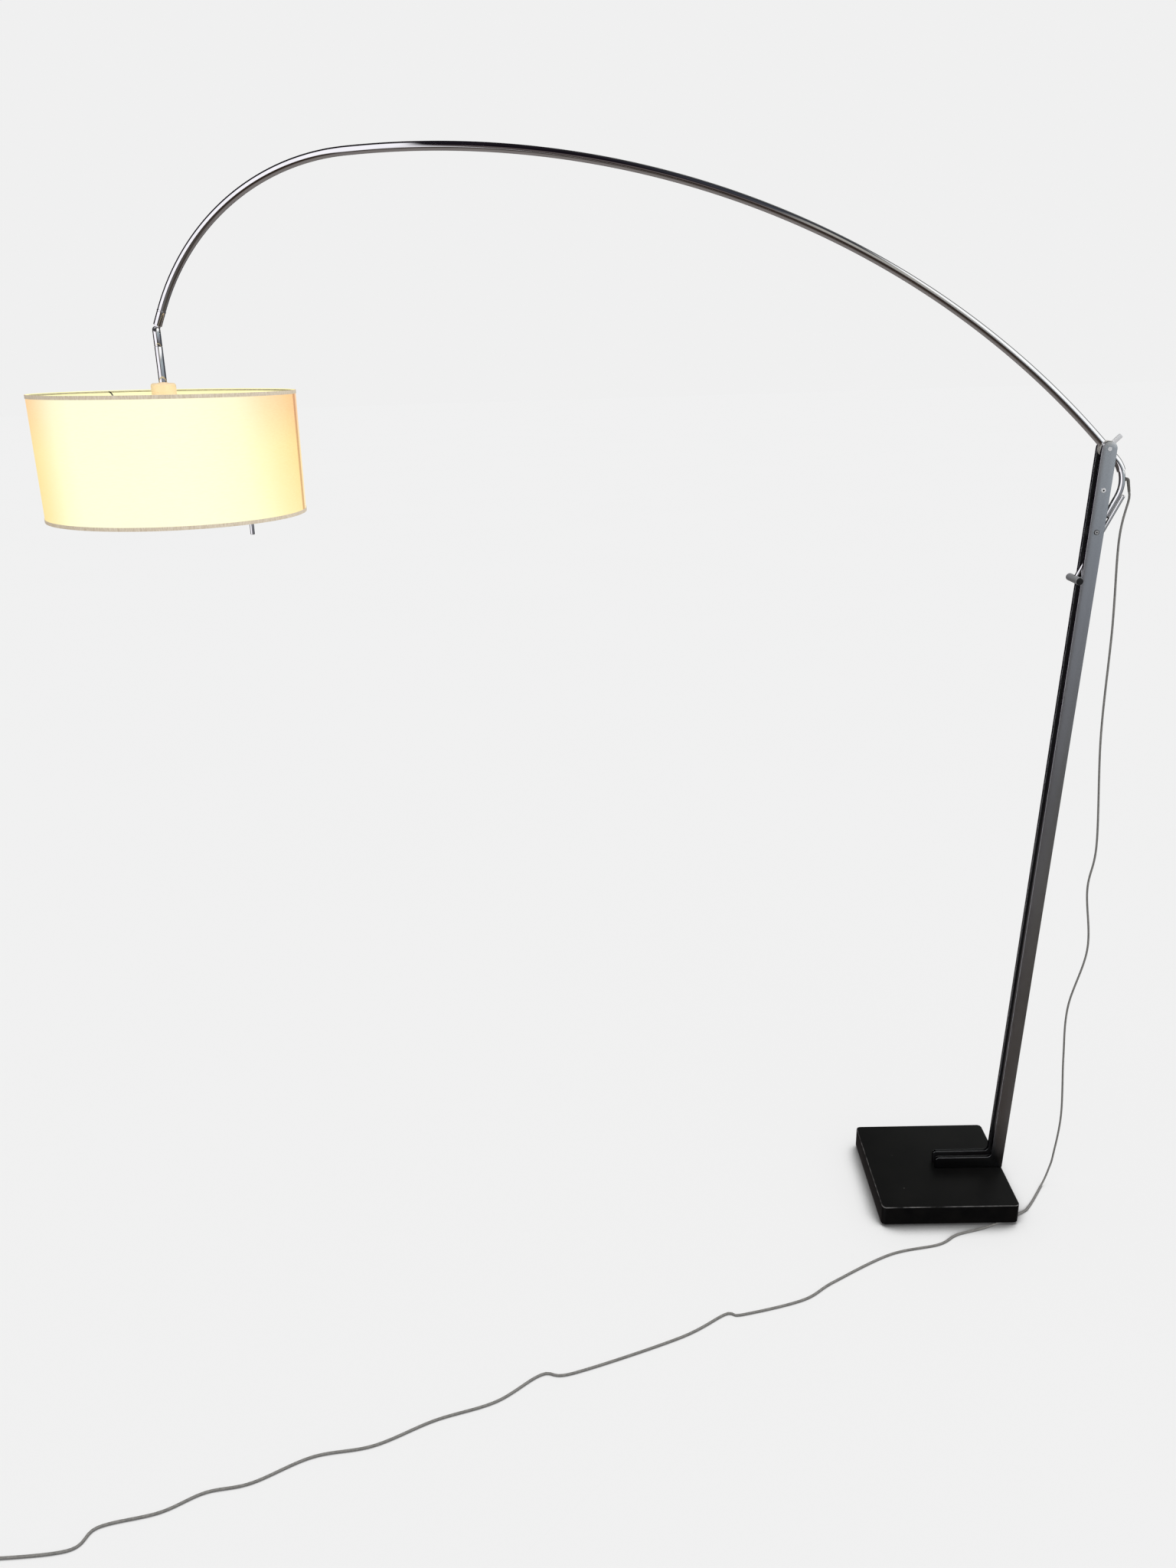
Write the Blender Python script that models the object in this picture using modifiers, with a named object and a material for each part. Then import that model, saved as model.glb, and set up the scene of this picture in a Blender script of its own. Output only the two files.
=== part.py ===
"""Arc floor lamp: a bent chrome arm with a drum shade, carried between two flat uprights on a heavy plate.

Metres, +Z up. The origin is the middle of the base pad's underside. The arm reaches out along -X, every
hinge axis lies along Y, and the near upright is the one at -Y.
"""
import math

import bmesh
import bpy
from mathutils import Matrix, Vector

MM = 0.001
GAP = 0.3 * MM                     # clearance kept between pieces that touch

# Base
PAD_HEIGHT = 6 * MM
PAD_LENGTH = 240 * MM
PAD_DEPTH = 210 * MM
PLATE_LENGTH = 320 * MM
PLATE_DEPTH = 310 * MM
PLATE_THICKNESS = 49 * MM
PLATE_CORNER = 11 * MM
PLATE_TOP = PAD_HEIGHT + PLATE_THICKNESS

# Uprights: two flat bars on edge, each bent forward into a foot
BAR_WIDTH = 30 * MM
BAR_THICKNESS = 8 * MM
BAR_GAP = 17 * MM
BAR_LEAN = math.radians(2.55)
BAR_TO_PIVOT = 1691.6 * MM         # from the rear corner up the leaning edge to the pivot
FOOT_LENGTH = 162 * MM
BAR_SIDE = (BAR_GAP + BAR_THICKNESS) / 2
BAR_FACE = BAR_GAP / 2 + BAR_THICKNESS
SPACER_DROP = 79 * MM              # below the pivot, along the bars
BRAKE_DROP = 161 * MM
FOOT_BOLTS_FROM_REAR = (45 * MM, 130 * MM)

# Arm: a round tube in two tangent arcs, through a pivot hub
TUBE_RADIUS = 8 * MM
TUBE_BORE = 6.5 * MM
SPIGOT_RADIUS = 5.6 * MM           # plugs inside the tube's bore
HUB_RADIUS = 15.5 * MM
HUB_WIDTH = 16.4 * MM
ARM_SPIGOT = 37.5 * MM             # reach of the hub's spigots from the pivot
TAIL_SPIGOT = 23.5 * MM
WIRE_BORE = 3.3 * MM
ARM_START = math.radians(133.7)    # direction in which the arm leaves the pivot
SWEEP_RADIUS = 1.848
SWEEP_ANGLE = math.radians(49.9)
CROOK_RADIUS = 0.4425
CROOK_ANGLE = math.radians(62.2)
HINGE_SLEEVE = 38 * MM             # from the end of the tube down to the shade's hinge

# Tail: a thinner tube that bends back under the pivot and carries the lever
SLEEVE_BEND_STEPS = 5              # points of the tail's bend that its outer sleeve also follows
TAIL_RADIUS = 6 * MM
TAIL_BORE = 4.6 * MM
TAIL_STRAIGHT = 28.6 * MM
TAIL_BEND = 66 * MM
TAIL_SWEEP = math.radians(69.3)
TAIL_LEG = 40 * MM
CORD_HOLE_ANGLE = math.radians(5)  # place of the cord's hole on the outside of the tail's bend
BOOT_BEND = 4.2 * MM               # the cord's moulded boot turns down beside the tail
BOOT_HEADING = math.radians(-78)
BOOT_LENGTH = 22 * MM              # its tapered nozzle

# Lever that runs down between the uprights to a cross handle in front of them
LEVER_RADIUS = 4 * MM
LEVER_LAP = 9 * MM                 # how far the lever reaches back along the tail's bend
HANDLE_RADIUS = 7.5 * MM
HANDLE_BORE = 6 * MM
HANDLE_LENGTH = 56 * MM
HANDLE_REST_GAP = 0.5 * MM

# Shade head, measured down its own axis from the shade hinge
HEAD_TILT = math.radians(1.0)
STEM_RADIUS = 7.5 * MM
STEM_BORE = 6 * MM
FORK_SLOT = 6.8 * MM
CAP_TOP = 96 * MM
CAP_RADIUS = 23.5 * MM
SPIDER_LEVEL = 128 * MM
SHADE_TOP = 112.7 * MM
SHADE_HEIGHT = 236 * MM
SHADE_RADIUS = 250 * MM
FABRIC = 1.2 * MM
RING_WIRE = 1.6 * MM
TRIM_HEIGHT = 7 * MM
TRIM_THICKNESS = 0.6 * MM
BULB_RADIUS = 30 * MM
ARM_AZIMUTHS = (16, 136, 256)      # degrees round the shade's axis
SWITCH_RADIUS = 138 * MM           # the pull switch hangs on the first spider arm

# Cord
CORD_RADIUS = 2.25 * MM
COIL_RADIUS = 27 * MM              # to the middle of its turns, two wide and two high
COIL_ARRIVAL = Vector((-1.97, -0.955, 0))
COIL_CLEARANCE = 18 * MM           # where the cord's pieces stop, along the coil's tangent
PLUG_LENGTH = 42 * MM

UP = Vector((0, 0, 1))
ACROSS = Vector((0, 1, 0))


# ---------------------------------------------------------------- scene and materials

def clear_scene():
    for item in list(bpy.data.objects):
        bpy.data.objects.remove(item, do_unlink=True)


def new_collection(name):
    collection = bpy.data.collections.new(name)
    bpy.context.scene.collection.children.link(collection)
    return collection


def material(name, colour, metallic, roughness, emission=0.0):
    found = bpy.data.materials.get(name)
    if found:
        return found
    made = bpy.data.materials.new(name)
    made.use_nodes = True
    shader = made.node_tree.nodes["Principled BSDF"]
    shader.inputs["Base Color"].default_value = (*colour, 1)
    shader.inputs["Metallic"].default_value = metallic
    shader.inputs["Roughness"].default_value = roughness
    if emission:
        shader.inputs["Emission Color"].default_value = (*colour, 1)
        shader.inputs["Emission Strength"].default_value = emission
    return made


def make_materials():
    return {
        "black_plate": material("black_plate", (0.012, 0.012, 0.012), 0.0, 0.38),
        "grey_paint": material("grey_paint", (0.19, 0.21, 0.23), 0.0, 0.45),
        "rubber": material("rubber", (0.02, 0.02, 0.02), 0.0, 0.8),
        "chrome": material("chrome", (0.78, 0.79, 0.8), 1.0, 0.06),
        "satin_steel": material("satin_steel", (0.45, 0.46, 0.47), 1.0, 0.3),
        "dark_steel": material("dark_steel", (0.06, 0.06, 0.065), 1.0, 0.4),
        "nylon": material("nylon", (0.55, 0.53, 0.48), 0.0, 0.5),
        "black_plastic": material("black_plastic", (0.01, 0.01, 0.01), 0.0, 0.4),
        "cream_plastic": material("cream_plastic", (0.86, 0.7, 0.5), 0.0, 0.35),
        "shade_fabric": material("shade_fabric", (0.95, 0.88, 0.7), 0.0, 0.9, 0.8),
        "shade_trim": material("shade_trim", (0.72, 0.6, 0.45), 0.0, 0.8),
        "bulb_glass": material("bulb_glass", (1.0, 0.95, 0.75), 0.0, 0.2, 2.0),
        "cord_grey": material("cord_grey", (0.33, 0.31, 0.28), 0.0, 0.5),
    }


# ---------------------------------------------------------------- shape helpers

def place(item, name, slot, parent=None):
    """Name an object, give it its material and put it in the lamp's collection."""
    item.name = name
    item.data.name = name
    item.data.materials.clear()
    item.data.materials.append(MATERIALS[slot])
    for collection in list(item.users_collection):
        collection.objects.unlink(item)
    LAMP.objects.link(item)
    item.parent = parent
    return item


def object_from(mesh_or_curve, matrix=None):
    item = bpy.data.objects.new(mesh_or_curve.name, mesh_or_curve)
    bpy.context.scene.collection.objects.link(item)
    if matrix is not None:
        item.matrix_world = matrix
    return item


def axis_matrix(origin, direction):
    """Local Z along direction, local origin at origin."""
    turn = Vector(direction).to_track_quat("Z", "Y").to_matrix().to_4x4()
    return Matrix.Translation(origin) @ turn


def turned(profile, matrix, closed=False, steps=32):
    """A profile of (radius, height) pairs, down its outer side, turned about local Z."""
    mesh = bpy.data.meshes.new("turned")
    points = [(radius, 0, height) for radius, height in profile]
    edges = [(i, i + 1) for i in range(len(points) - 1)]
    if closed:
        edges.append((len(points) - 1, 0))
    mesh.from_pydata(points, edges, [])
    item = object_from(mesh, matrix)
    screw = item.modifiers.new("turn", "SCREW")
    screw.axis = "Z"
    screw.steps = steps
    screw.render_steps = steps
    screw.use_merge_vertices = True
    screw.merge_threshold = 0.00001
    screw.use_smooth_shade = True
    return item


def rod(radius, length, matrix, bevel=0.0, steps=24):
    """A solid round bar from the local origin along +Z, with chamfered ends."""
    profile = [
        (0, length),
        (radius - bevel, length),
        (radius, length - bevel),
        (radius, bevel),
        (radius - bevel, 0),
        (0, 0),
    ]
    if not bevel:
        profile = [(0, length), (radius, length), (radius, 0), (0, 0)]
    return turned(profile, matrix, steps=steps)


def sleeve(outer, inner, bottom, top, matrix, steps=32):
    """A plain ring or tube between two heights on local Z."""
    profile = [(inner, top), (outer, top), (outer, bottom), (inner, bottom)]
    return turned(profile, matrix, closed=True, steps=steps)


def screw_piece(head_radius, head_height, shank_radius, length, matrix, socket=0.5):
    """A socket screw: head above local Z = 0, shank below it."""
    recess = head_radius * socket
    floor = head_height * 0.4
    profile = [
        (0, floor),
        (recess, floor),
        (recess, head_height),
        (head_radius, head_height),
        (head_radius, 0),
        (shank_radius, 0),
        (shank_radius, -length),
        (0, -length),
    ]
    return turned(profile, matrix, steps=12)


def round_corners(corners, segments=6):
    """Turn (x, y, radius) corners into an outline whose corners are arcs."""
    outline = []
    count = len(corners)
    for i, (x, y, radius) in enumerate(corners):
        here = Vector((x, y))
        before = Vector(corners[i - 1][:2]) - here
        after = Vector(corners[(i + 1) % count][:2]) - here
        if radius <= 0:
            outline.append(here)
            continue
        before.normalize()
        after.normalize()
        half = before.angle(after) / 2
        centre = here + (before + after).normalized() * radius / math.sin(half)
        start = here + before * radius / math.tan(half) - centre
        sweep = start.angle_signed(here + after * radius / math.tan(half) - centre)
        for k in range(segments + 1):
            turn = Matrix.Rotation(-sweep * k / segments, 2)
            outline.append(centre + turn @ start)
    return outline


def circle(centre, radius, segments=20):
    angles = [math.tau * k / segments for k in range(segments)]
    return [Vector((centre[0] + radius * math.cos(a), centre[1] + radius * math.sin(a))) for a in angles]


def flat_piece(outlines, thickness, matrix):
    """A flat outline with any holes, centred on its plane."""
    curve = bpy.data.curves.new("flat", "CURVE")
    curve.dimensions = "2D"
    curve.fill_mode = "BOTH"
    curve.extrude = thickness / 2
    for outline in outlines:
        spline = curve.splines.new("POLY")
        spline.points.add(len(outline) - 1)
        for point, (x, y) in zip(spline.points, outline):
            point.co = (x, y, 0, 1)
        spline.use_cyclic_u = True
    return object_from(curve, matrix)


def wire(points, radius, resolution=3, caps=True):
    """A round wire or tube skin through points in world space."""
    curve = bpy.data.curves.new("wire", "CURVE")
    curve.dimensions = "3D"
    curve.bevel_depth = radius
    curve.bevel_resolution = resolution
    curve.use_fill_caps = caps
    spline = curve.splines.new("POLY")
    spline.points.add(len(points) - 1)
    for point, place_ in zip(spline.points, points):
        point.co = (*place_, 1)
    return object_from(curve)


def as_mesh(item):
    """Replace a curve or a modified object by its evaluated mesh, welded."""
    bpy.context.view_layer.update()
    depsgraph = bpy.context.evaluated_depsgraph_get()
    mesh = bpy.data.meshes.new_from_object(item.evaluated_get(depsgraph))
    matrix = item.matrix_world.copy()
    bpy.data.objects.remove(item, do_unlink=True)
    work = bmesh.new()
    work.from_mesh(mesh)
    bmesh.ops.remove_doubles(work, verts=work.verts, dist=0.000005)
    work.to_mesh(mesh)
    work.free()
    return object_from(mesh, matrix)


def hollow_tube(points, radius, bore, resolution=3):
    """An open-ended tube along points: a skin with a wall grown inwards."""
    item = as_mesh(wire(points, radius, resolution, caps=False))
    wall = item.modifiers.new("wall", "SOLIDIFY")
    wall.thickness = radius - bore
    wall.offset = -1
    return item


def combine(item, other, operation="DIFFERENCE"):
    """Cut other from item, or join it on, and keep other as a hidden cutter."""
    for collection in list(other.users_collection):
        collection.objects.unlink(other)
    CUTTERS.objects.link(other)
    other.hide_render = True
    other.display_type = "WIRE"
    step = item.modifiers.new(operation.lower(), "BOOLEAN")
    step.operation = operation
    step.object = other
    return item


def arc_points(start, heading, radius, sweep, segments):
    """Points along an arc in the XZ plane. A positive sweep turns from +X towards +Z."""
    side = math.copysign(1, sweep)
    normal = Vector((-math.sin(heading), 0, math.cos(heading))) * side
    centre = start + normal * radius
    points = []
    for k in range(segments + 1):
        turn = Matrix.Rotation(-sweep * k / segments, 3, "Y")
        points.append(centre + turn @ (start - centre))
    return points


def direction_of(heading):
    return Vector((math.cos(heading), 0, math.sin(heading)))


def smooth_route(route, count):
    """Evenly spaced points on a smooth curve through the route's own points."""
    dense = []
    ends = [route[0] * 2 - route[1], *route, route[-1] * 2 - route[-2]]
    for a, b, c, d in zip(ends, ends[1:], ends[2:], ends[3:]):
        for k in range(40):
            t = k / 40
            dense.append(0.5 * (2 * b + (c - a) * t + (2 * a - 5 * b + 4 * c - d) * t * t
                                + (3 * b - a - 3 * c + d) * t ** 3))
    dense.append(route[-1])
    lengths = [0.0]
    for a, b in zip(dense, dense[1:]):
        lengths.append(lengths[-1] + (b - a).length)
    points = []
    index = 0
    for k in range(count):
        wanted = lengths[-1] * k / (count - 1)
        while index < len(lengths) - 2 and lengths[index + 1] < wanted:
            index += 1
        span = max(lengths[index + 1] - lengths[index], 1e-9)
        points.append(dense[index].lerp(dense[index + 1], (wanted - lengths[index]) / span))
    return points


# ---------------------------------------------------------------- shared places

BAR_UP = Vector((math.sin(BAR_LEAN), 0, math.cos(BAR_LEAN)))
BAR_FORWARD = Vector((-math.cos(BAR_LEAN), 0, math.sin(BAR_LEAN)))
REAR_CORNER = Vector((PLATE_LENGTH / 2, 0, PLATE_TOP + GAP))
PIVOT = REAR_CORNER + BAR_UP * BAR_TO_PIVOT + BAR_FORWARD * BAR_WIDTH / 2
SPACER = PIVOT - BAR_UP * SPACER_DROP
BRAKE = PIVOT - BAR_UP * BRAKE_DROP

ARM_DIRECTION = direction_of(ARM_START)
TAIL_DIRECTION = -ARM_DIRECTION
STUD_DIRECTION = direction_of(ARM_START - math.pi / 2)

SWEEP_POINTS = arc_points(PIVOT, ARM_START, SWEEP_RADIUS, SWEEP_ANGLE, 24)
CROOK_HEADING = ARM_START + SWEEP_ANGLE
HINGE_HEADING = CROOK_HEADING + CROOK_ANGLE
CROOK_POINTS = arc_points(SWEEP_POINTS[-1], CROOK_HEADING, CROOK_RADIUS, CROOK_ANGLE, 12)
TUBE_END = CROOK_POINTS[-1]
SLEEVE_DIRECTION = direction_of(HINGE_HEADING)
SHADE_HINGE = TUBE_END + SLEEVE_DIRECTION * HINGE_SLEEVE

TAIL_HEADING = ARM_START + math.pi
TAIL_BEND_START = PIVOT + TAIL_DIRECTION * TAIL_STRAIGHT
TAIL_POINTS = arc_points(TAIL_BEND_START, TAIL_HEADING, TAIL_BEND, -TAIL_SWEEP, 12)
LEG_DIRECTION = direction_of(TAIL_HEADING - TAIL_SWEEP)
LEG_SIDE = Vector((-LEG_DIRECTION.z, 0, LEG_DIRECTION.x))
TAIL_END = TAIL_POINTS[-1] + LEG_DIRECTION * TAIL_LEG
BEND_CENTRE = TAIL_BEND_START + Vector((math.sin(TAIL_HEADING), 0, -math.cos(TAIL_HEADING))) * TAIL_BEND
HOLE_DIRECTION = direction_of(CORD_HOLE_ANGLE)
CORD_HOLE = BEND_CENTRE + HOLE_DIRECTION * (TAIL_BEND + TAIL_RADIUS)
BOOT_TURN = arc_points(CORD_HOLE + HOLE_DIRECTION * 1.9 * MM, CORD_HOLE_ANGLE, BOOT_BEND,
                       BOOT_HEADING - CORD_HOLE_ANGLE, 5)
EXIT_DIRECTION = direction_of(BOOT_HEADING)
CORD_EXIT = BOOT_TURN[-1] + EXIT_DIRECTION * BOOT_LENGTH

LEVER_TOP = TAIL_POINTS[-1] - LEG_DIRECTION * LEVER_LAP + LEG_SIDE * (TAIL_RADIUS + LEVER_RADIUS + GAP)
FRONT_EDGE = REAR_CORNER + BAR_FORWARD * BAR_WIDTH
HANDLE_ADVANCE = HANDLE_RADIUS + HANDLE_REST_GAP - (LEVER_TOP - FRONT_EDGE).dot(BAR_FORWARD)
HANDLE = LEVER_TOP + LEG_DIRECTION * HANDLE_ADVANCE / LEG_DIRECTION.dot(BAR_FORWARD)

COIL_CENTRE = COIL_ARRIVAL - ACROSS * (COIL_RADIUS + CORD_RADIUS)


# ---------------------------------------------------------------- base and uprights

def build_base():
    pad_box = round_corners([
        (-PAD_LENGTH / 2, -PAD_DEPTH / 2, PLATE_CORNER),
        (PAD_LENGTH / 2, -PAD_DEPTH / 2, PLATE_CORNER),
        (PAD_LENGTH / 2, PAD_DEPTH / 2, PLATE_CORNER),
        (-PAD_LENGTH / 2, PAD_DEPTH / 2, PLATE_CORNER),
    ], 4)
    pad_height = PAD_HEIGHT - GAP
    pad = flat_piece([pad_box], pad_height, Matrix.Translation((0, 0, pad_height / 2)))
    place(as_mesh(pad), "base_pad", "rubber")

    plate_box = round_corners([
        (-PLATE_LENGTH / 2, -PLATE_DEPTH / 2, PLATE_CORNER),
        (PLATE_LENGTH / 2, -PLATE_DEPTH / 2, PLATE_CORNER),
        (PLATE_LENGTH / 2, PLATE_DEPTH / 2, PLATE_CORNER),
        (-PLATE_LENGTH / 2, PLATE_DEPTH / 2, PLATE_CORNER),
    ], 4)
    middle = Matrix.Translation((0, 0, PAD_HEIGHT + PLATE_THICKNESS / 2))
    plate = as_mesh(flat_piece([plate_box], PLATE_THICKNESS, middle))
    edge = plate.modifiers.new("edge", "BEVEL")
    edge.width = 2 * MM
    edge.segments = 1
    edge.limit_method = "ANGLE"
    edge.angle_limit = math.radians(60)
    for x, y in foot_bolt_places():
        bolt_hole = turned([
            (0, PLATE_TOP + 0.01),
            (2.9 * MM, PLATE_TOP + 0.01),
            (2.9 * MM, PAD_HEIGHT + 8 * MM),
            (5.6 * MM, PAD_HEIGHT + 8 * MM),
            (5.6 * MM, 0),
            (0, 0),
        ], Matrix.Translation((x, y, 0)), steps=12)
        combine(plate, bolt_hole)
    place(plate, "base_plate", "black_plate")


def foot_bolt_places():
    places = []
    for from_rear in FOOT_BOLTS_FROM_REAR:
        for side in (-1, 1):
            places.append((PLATE_LENGTH / 2 - from_rear, side * BAR_SIDE))
    return places


def upright_outline():
    top = PIVOT + BAR_UP * BAR_WIDTH / 2
    top_rear = top - BAR_FORWARD * BAR_WIDTH / 2
    top_front = top + BAR_FORWARD * BAR_WIDTH / 2
    foot_top = REAR_CORNER.z + BAR_WIDTH
    rise = (foot_top - FRONT_EDGE.z) / BAR_UP.z
    crotch = FRONT_EDGE + BAR_UP * rise
    tip = REAR_CORNER.x - FOOT_LENGTH
    return round_corners([
        (tip, REAR_CORNER.z, 0),
        (REAR_CORNER.x, REAR_CORNER.z, 1.5 * MM),
        (top_rear.x, top_rear.z, BAR_WIDTH / 2 - 0.01 * MM),
        (top_front.x, top_front.z, BAR_WIDTH / 2 - 0.01 * MM),
        (crotch.x, crotch.z, 10 * MM),
        (tip, foot_top, 8 * MM),
    ], 8)


def build_uprights():
    pivot_hole = circle((PIVOT.x, PIVOT.z), 4.4 * MM)
    spacer_hole = circle((SPACER.x, SPACER.z), 2.8 * MM)
    brake_hole = circle((BRAKE.x, BRAKE.z), 2.8 * MM)
    outlines = [upright_outline(), pivot_hole, spacer_hole, brake_hole]
    stand_up = Matrix.Rotation(math.radians(90), 4, "X")
    for name, side in (("upright_near", -1), ("upright_far", 1)):
        matrix = Matrix.Translation((0, side * BAR_SIDE, 0)) @ stand_up
        bar = as_mesh(flat_piece(outlines, BAR_THICKNESS, matrix))
        for x, y in foot_bolt_places():
            if y * side > 0:
                tapped = rod(2.8 * MM, 18 * MM, Matrix.Translation((x, y, PLATE_TOP - 0.002)), steps=12)
                combine(bar, tapped)
        place(bar, name, "grey_paint")


def build_stand_hardware():
    for number, (x, y) in enumerate(foot_bolt_places(), 1):
        head = Matrix.Translation((x, y, PAD_HEIGHT + 8 * MM - GAP)) @ Matrix.Rotation(math.pi, 4, "X")
        bolt = screw_piece(5 * MM, 5 * MM, 2.5 * MM, PLATE_THICKNESS + 5 * MM, head)
        place(bolt, f"foot_bolt_{number}", "dark_steel")

    half = BAR_GAP / 2 - GAP
    spacer = sleeve(6 * MM, 2.8 * MM, -half, half, axis_matrix(SPACER, ACROSS), steps=24)
    place(spacer, "spacer_tube", "satin_steel")
    for name, side in (("near", -1), ("far", 1)):
        outwards = ACROSS * side
        face = BAR_FACE + GAP
        seat = axis_matrix(SPACER + outwards * face, outwards)
        spacer_screw = screw_piece(4.5 * MM, 2.5 * MM, 2.5 * MM, face - 0.5 * MM, seat, 0.45)
        place(spacer_screw, f"spacer_screw_{name}", "chrome")

        seat = axis_matrix(PIVOT + outwards * face, outwards)
        pin = turned([
            (0, 0.8 * MM),
            (3.6 * MM, 0.8 * MM),
            (4.1 * MM, 0.3 * MM),
            (4.1 * MM, -BAR_THICKNESS - 4.5 * MM),
            (0, -BAR_THICKNESS - 4.5 * MM),
        ], seat, steps=20)
        place(pin, f"pivot_pin_{name}", "satin_steel")

        pad_out = BAR_GAP / 2 - GAP
        pad_in = LEVER_RADIUS + 0.5 * MM
        pad = sleeve(14 * MM, 2.8 * MM, pad_in, pad_out, axis_matrix(BRAKE, outwards), steps=32)
        place(pad, f"brake_pad_{name}", "nylon")
        seat = axis_matrix(BRAKE + outwards * face, outwards)
        brake_screw = screw_piece(5.2 * MM, 1.6 * MM, 2.5 * MM, face - pad_in - 0.3 * MM, seat, 0.5)
        place(brake_screw, f"brake_screw_{name}", "dark_steel")


# ---------------------------------------------------------------- arm, tail and lever

def build_hub():
    """The round block on the pivot, with a bored spigot for the arc tube and a shorter one for the tail."""
    hub = as_mesh(chamfered_disc(HUB_RADIUS, HUB_WIDTH, axis_matrix(PIVOT, ACROSS)))
    spigot_start = PIVOT - ARM_DIRECTION * TAIL_SPIGOT
    spigot = rod(SPIGOT_RADIUS, TAIL_SPIGOT + ARM_SPIGOT, axis_matrix(spigot_start, ARM_DIRECTION), steps=16)
    combine(hub, spigot, "UNION")
    bore_start = spigot_start - ARM_DIRECTION * 10 * MM
    bore_length = TAIL_SPIGOT + ARM_SPIGOT + 20 * MM
    combine(hub, rod(WIRE_BORE, bore_length, axis_matrix(bore_start, ARM_DIRECTION), steps=12))
    for side in (-1, 1):
        start = PIVOT + ACROSS * side * (HUB_WIDTH / 2 - 4.3 * MM)
        combine(hub, rod(4.4 * MM, 10 * MM, axis_matrix(start, ACROSS * side), steps=16))
    stud_hole = rod(2.8 * MM, 20 * MM, axis_matrix(PIVOT + STUD_DIRECTION * 8 * MM, STUD_DIRECTION), steps=12)
    combine(hub, stud_hole)
    place(hub, "pivot_hub", "satin_steel")


def chamfered_disc(radius, width, matrix):
    chamfer = 0.6 * MM
    half = width / 2
    return turned([
        (0, half),
        (radius - chamfer, half),
        (radius, half - chamfer),
        (radius, chamfer - half),
        (radius - chamfer, -half),
        (0, -half),
    ], matrix, steps=28)


def build_arm():
    """The arc tube starts at the hub's rim and stops at the hinge sleeve."""
    start = PIVOT + ARM_DIRECTION * (HUB_RADIUS + GAP)
    path = [start] + SWEEP_POINTS[1:] + CROOK_POINTS[1:]
    place(hollow_tube(path, TUBE_RADIUS, TUBE_BORE, 3), "arc_tube", "chrome")

    tail_start = PIVOT + TAIL_DIRECTION * (HUB_RADIUS + GAP)
    sleeve_path = [tail_start] + TAIL_POINTS[:SLEEVE_BEND_STEPS]
    place(hollow_tube(sleeve_path, TUBE_RADIUS, TUBE_BORE, 3), "tail_sleeve", "chrome")


def build_tail():
    start = PIVOT + TAIL_DIRECTION * (TAIL_SPIGOT + GAP)
    path = [start] + TAIL_POINTS + [TAIL_END]
    tail = hollow_tube(path, TAIL_RADIUS, TAIL_BORE, 3)
    hole = rod(3.6 * MM, 12 * MM, axis_matrix(CORD_HOLE - HOLE_DIRECTION * 6.3 * MM, HOLE_DIRECTION), steps=12)
    combine(tail, hole)
    place(tail, "tail_tube", "chrome")

    plug = turned([
        (0, 4 * MM),
        (3.2 * MM, 3.2 * MM),
        (TAIL_RADIUS - 0.8 * MM, 1.6 * MM),
        (TAIL_RADIUS, GAP),
        (TAIL_BORE - 2 * GAP, GAP),
        (TAIL_BORE - 2 * GAP, -8 * MM),
        (0, -8 * MM),
    ], axis_matrix(TAIL_END, LEG_DIRECTION), steps=16)
    place(plug, "tail_plug", "black_plastic")

    neck = [
        (-4 * MM, 3.3 * MM),
        (0.4 * MM, 3.3 * MM),
        (0.5 * MM, 4.3 * MM),
        (1.5 * MM, 4.3 * MM),
    ]
    route = [CORD_HOLE + HOLE_DIRECTION * out for out, _ in neck] + BOOT_TURN + [CORD_EXIT]
    radii = [radius for _, radius in neck] + [3.5 * MM] * len(BOOT_TURN) + [2.8 * MM]
    boot = wire(route, 1 * MM, 3)
    for point, radius in zip(boot.data.splines[0].points, radii):
        point.radius = radius / (1 * MM)
    place(as_mesh(boot), "cord_grommet", "black_plastic")


def build_lever():
    reach = (HANDLE - LEVER_TOP).length
    length = reach - HANDLE_BORE + 1 * MM
    lever = turned([
        (0, length),
        (LEVER_RADIUS, length),
        (LEVER_RADIUS, 3 * MM),
        (LEVER_RADIUS * 0.75, 0.8 * MM),
        (0, 0),
    ], axis_matrix(LEVER_TOP, LEG_DIRECTION), steps=16)
    place(lever, "lever_rod", "chrome")

    half = HANDLE_LENGTH / 2
    handle = as_mesh(sleeve(HANDLE_RADIUS, HANDLE_BORE, -half, half, axis_matrix(HANDLE, ACROSS), 24))
    rod_hole = rod(LEVER_RADIUS + GAP, 16 * MM, axis_matrix(HANDLE - LEG_DIRECTION * 18 * MM, LEG_DIRECTION),
                   steps=16)
    combine(handle, rod_hole)
    place(handle, "cross_handle", "satin_steel")
    for name, side in (("near", -1), ("far", 1)):
        plug = turned([
            (0, 1.4 * MM),
            (HANDLE_RADIUS - 1.6 * MM, 1.4 * MM),
            (HANDLE_RADIUS - 0.3 * MM, GAP),
            (HANDLE_BORE - GAP, GAP),
            (HANDLE_BORE - GAP, -9 * MM),
            (0, -9 * MM),
        ], axis_matrix(HANDLE + ACROSS * side * half, ACROSS * side), steps=16)
        place(plug, f"handle_plug_{name}", "black_plastic")


def build_lock_stud():
    """A stud screwed into the hub, square to the arm; turning it locks the hub."""
    matrix = axis_matrix(PIVOT, STUD_DIRECTION)
    head_start = HUB_RADIUS + 0.5 * MM
    head_end = 35.5 * MM
    stud = turned([
        (0, head_end),
        (3.6 * MM, head_end),
        (4.8 * MM, head_end - 1.2 * MM),
        (4.8 * MM, head_start),
        (2.4 * MM, head_start),
        (2.4 * MM, 8.6 * MM),
        (0, 8.6 * MM),
    ], matrix, steps=16)
    place(stud, "lock_stud", "chrome")


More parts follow.
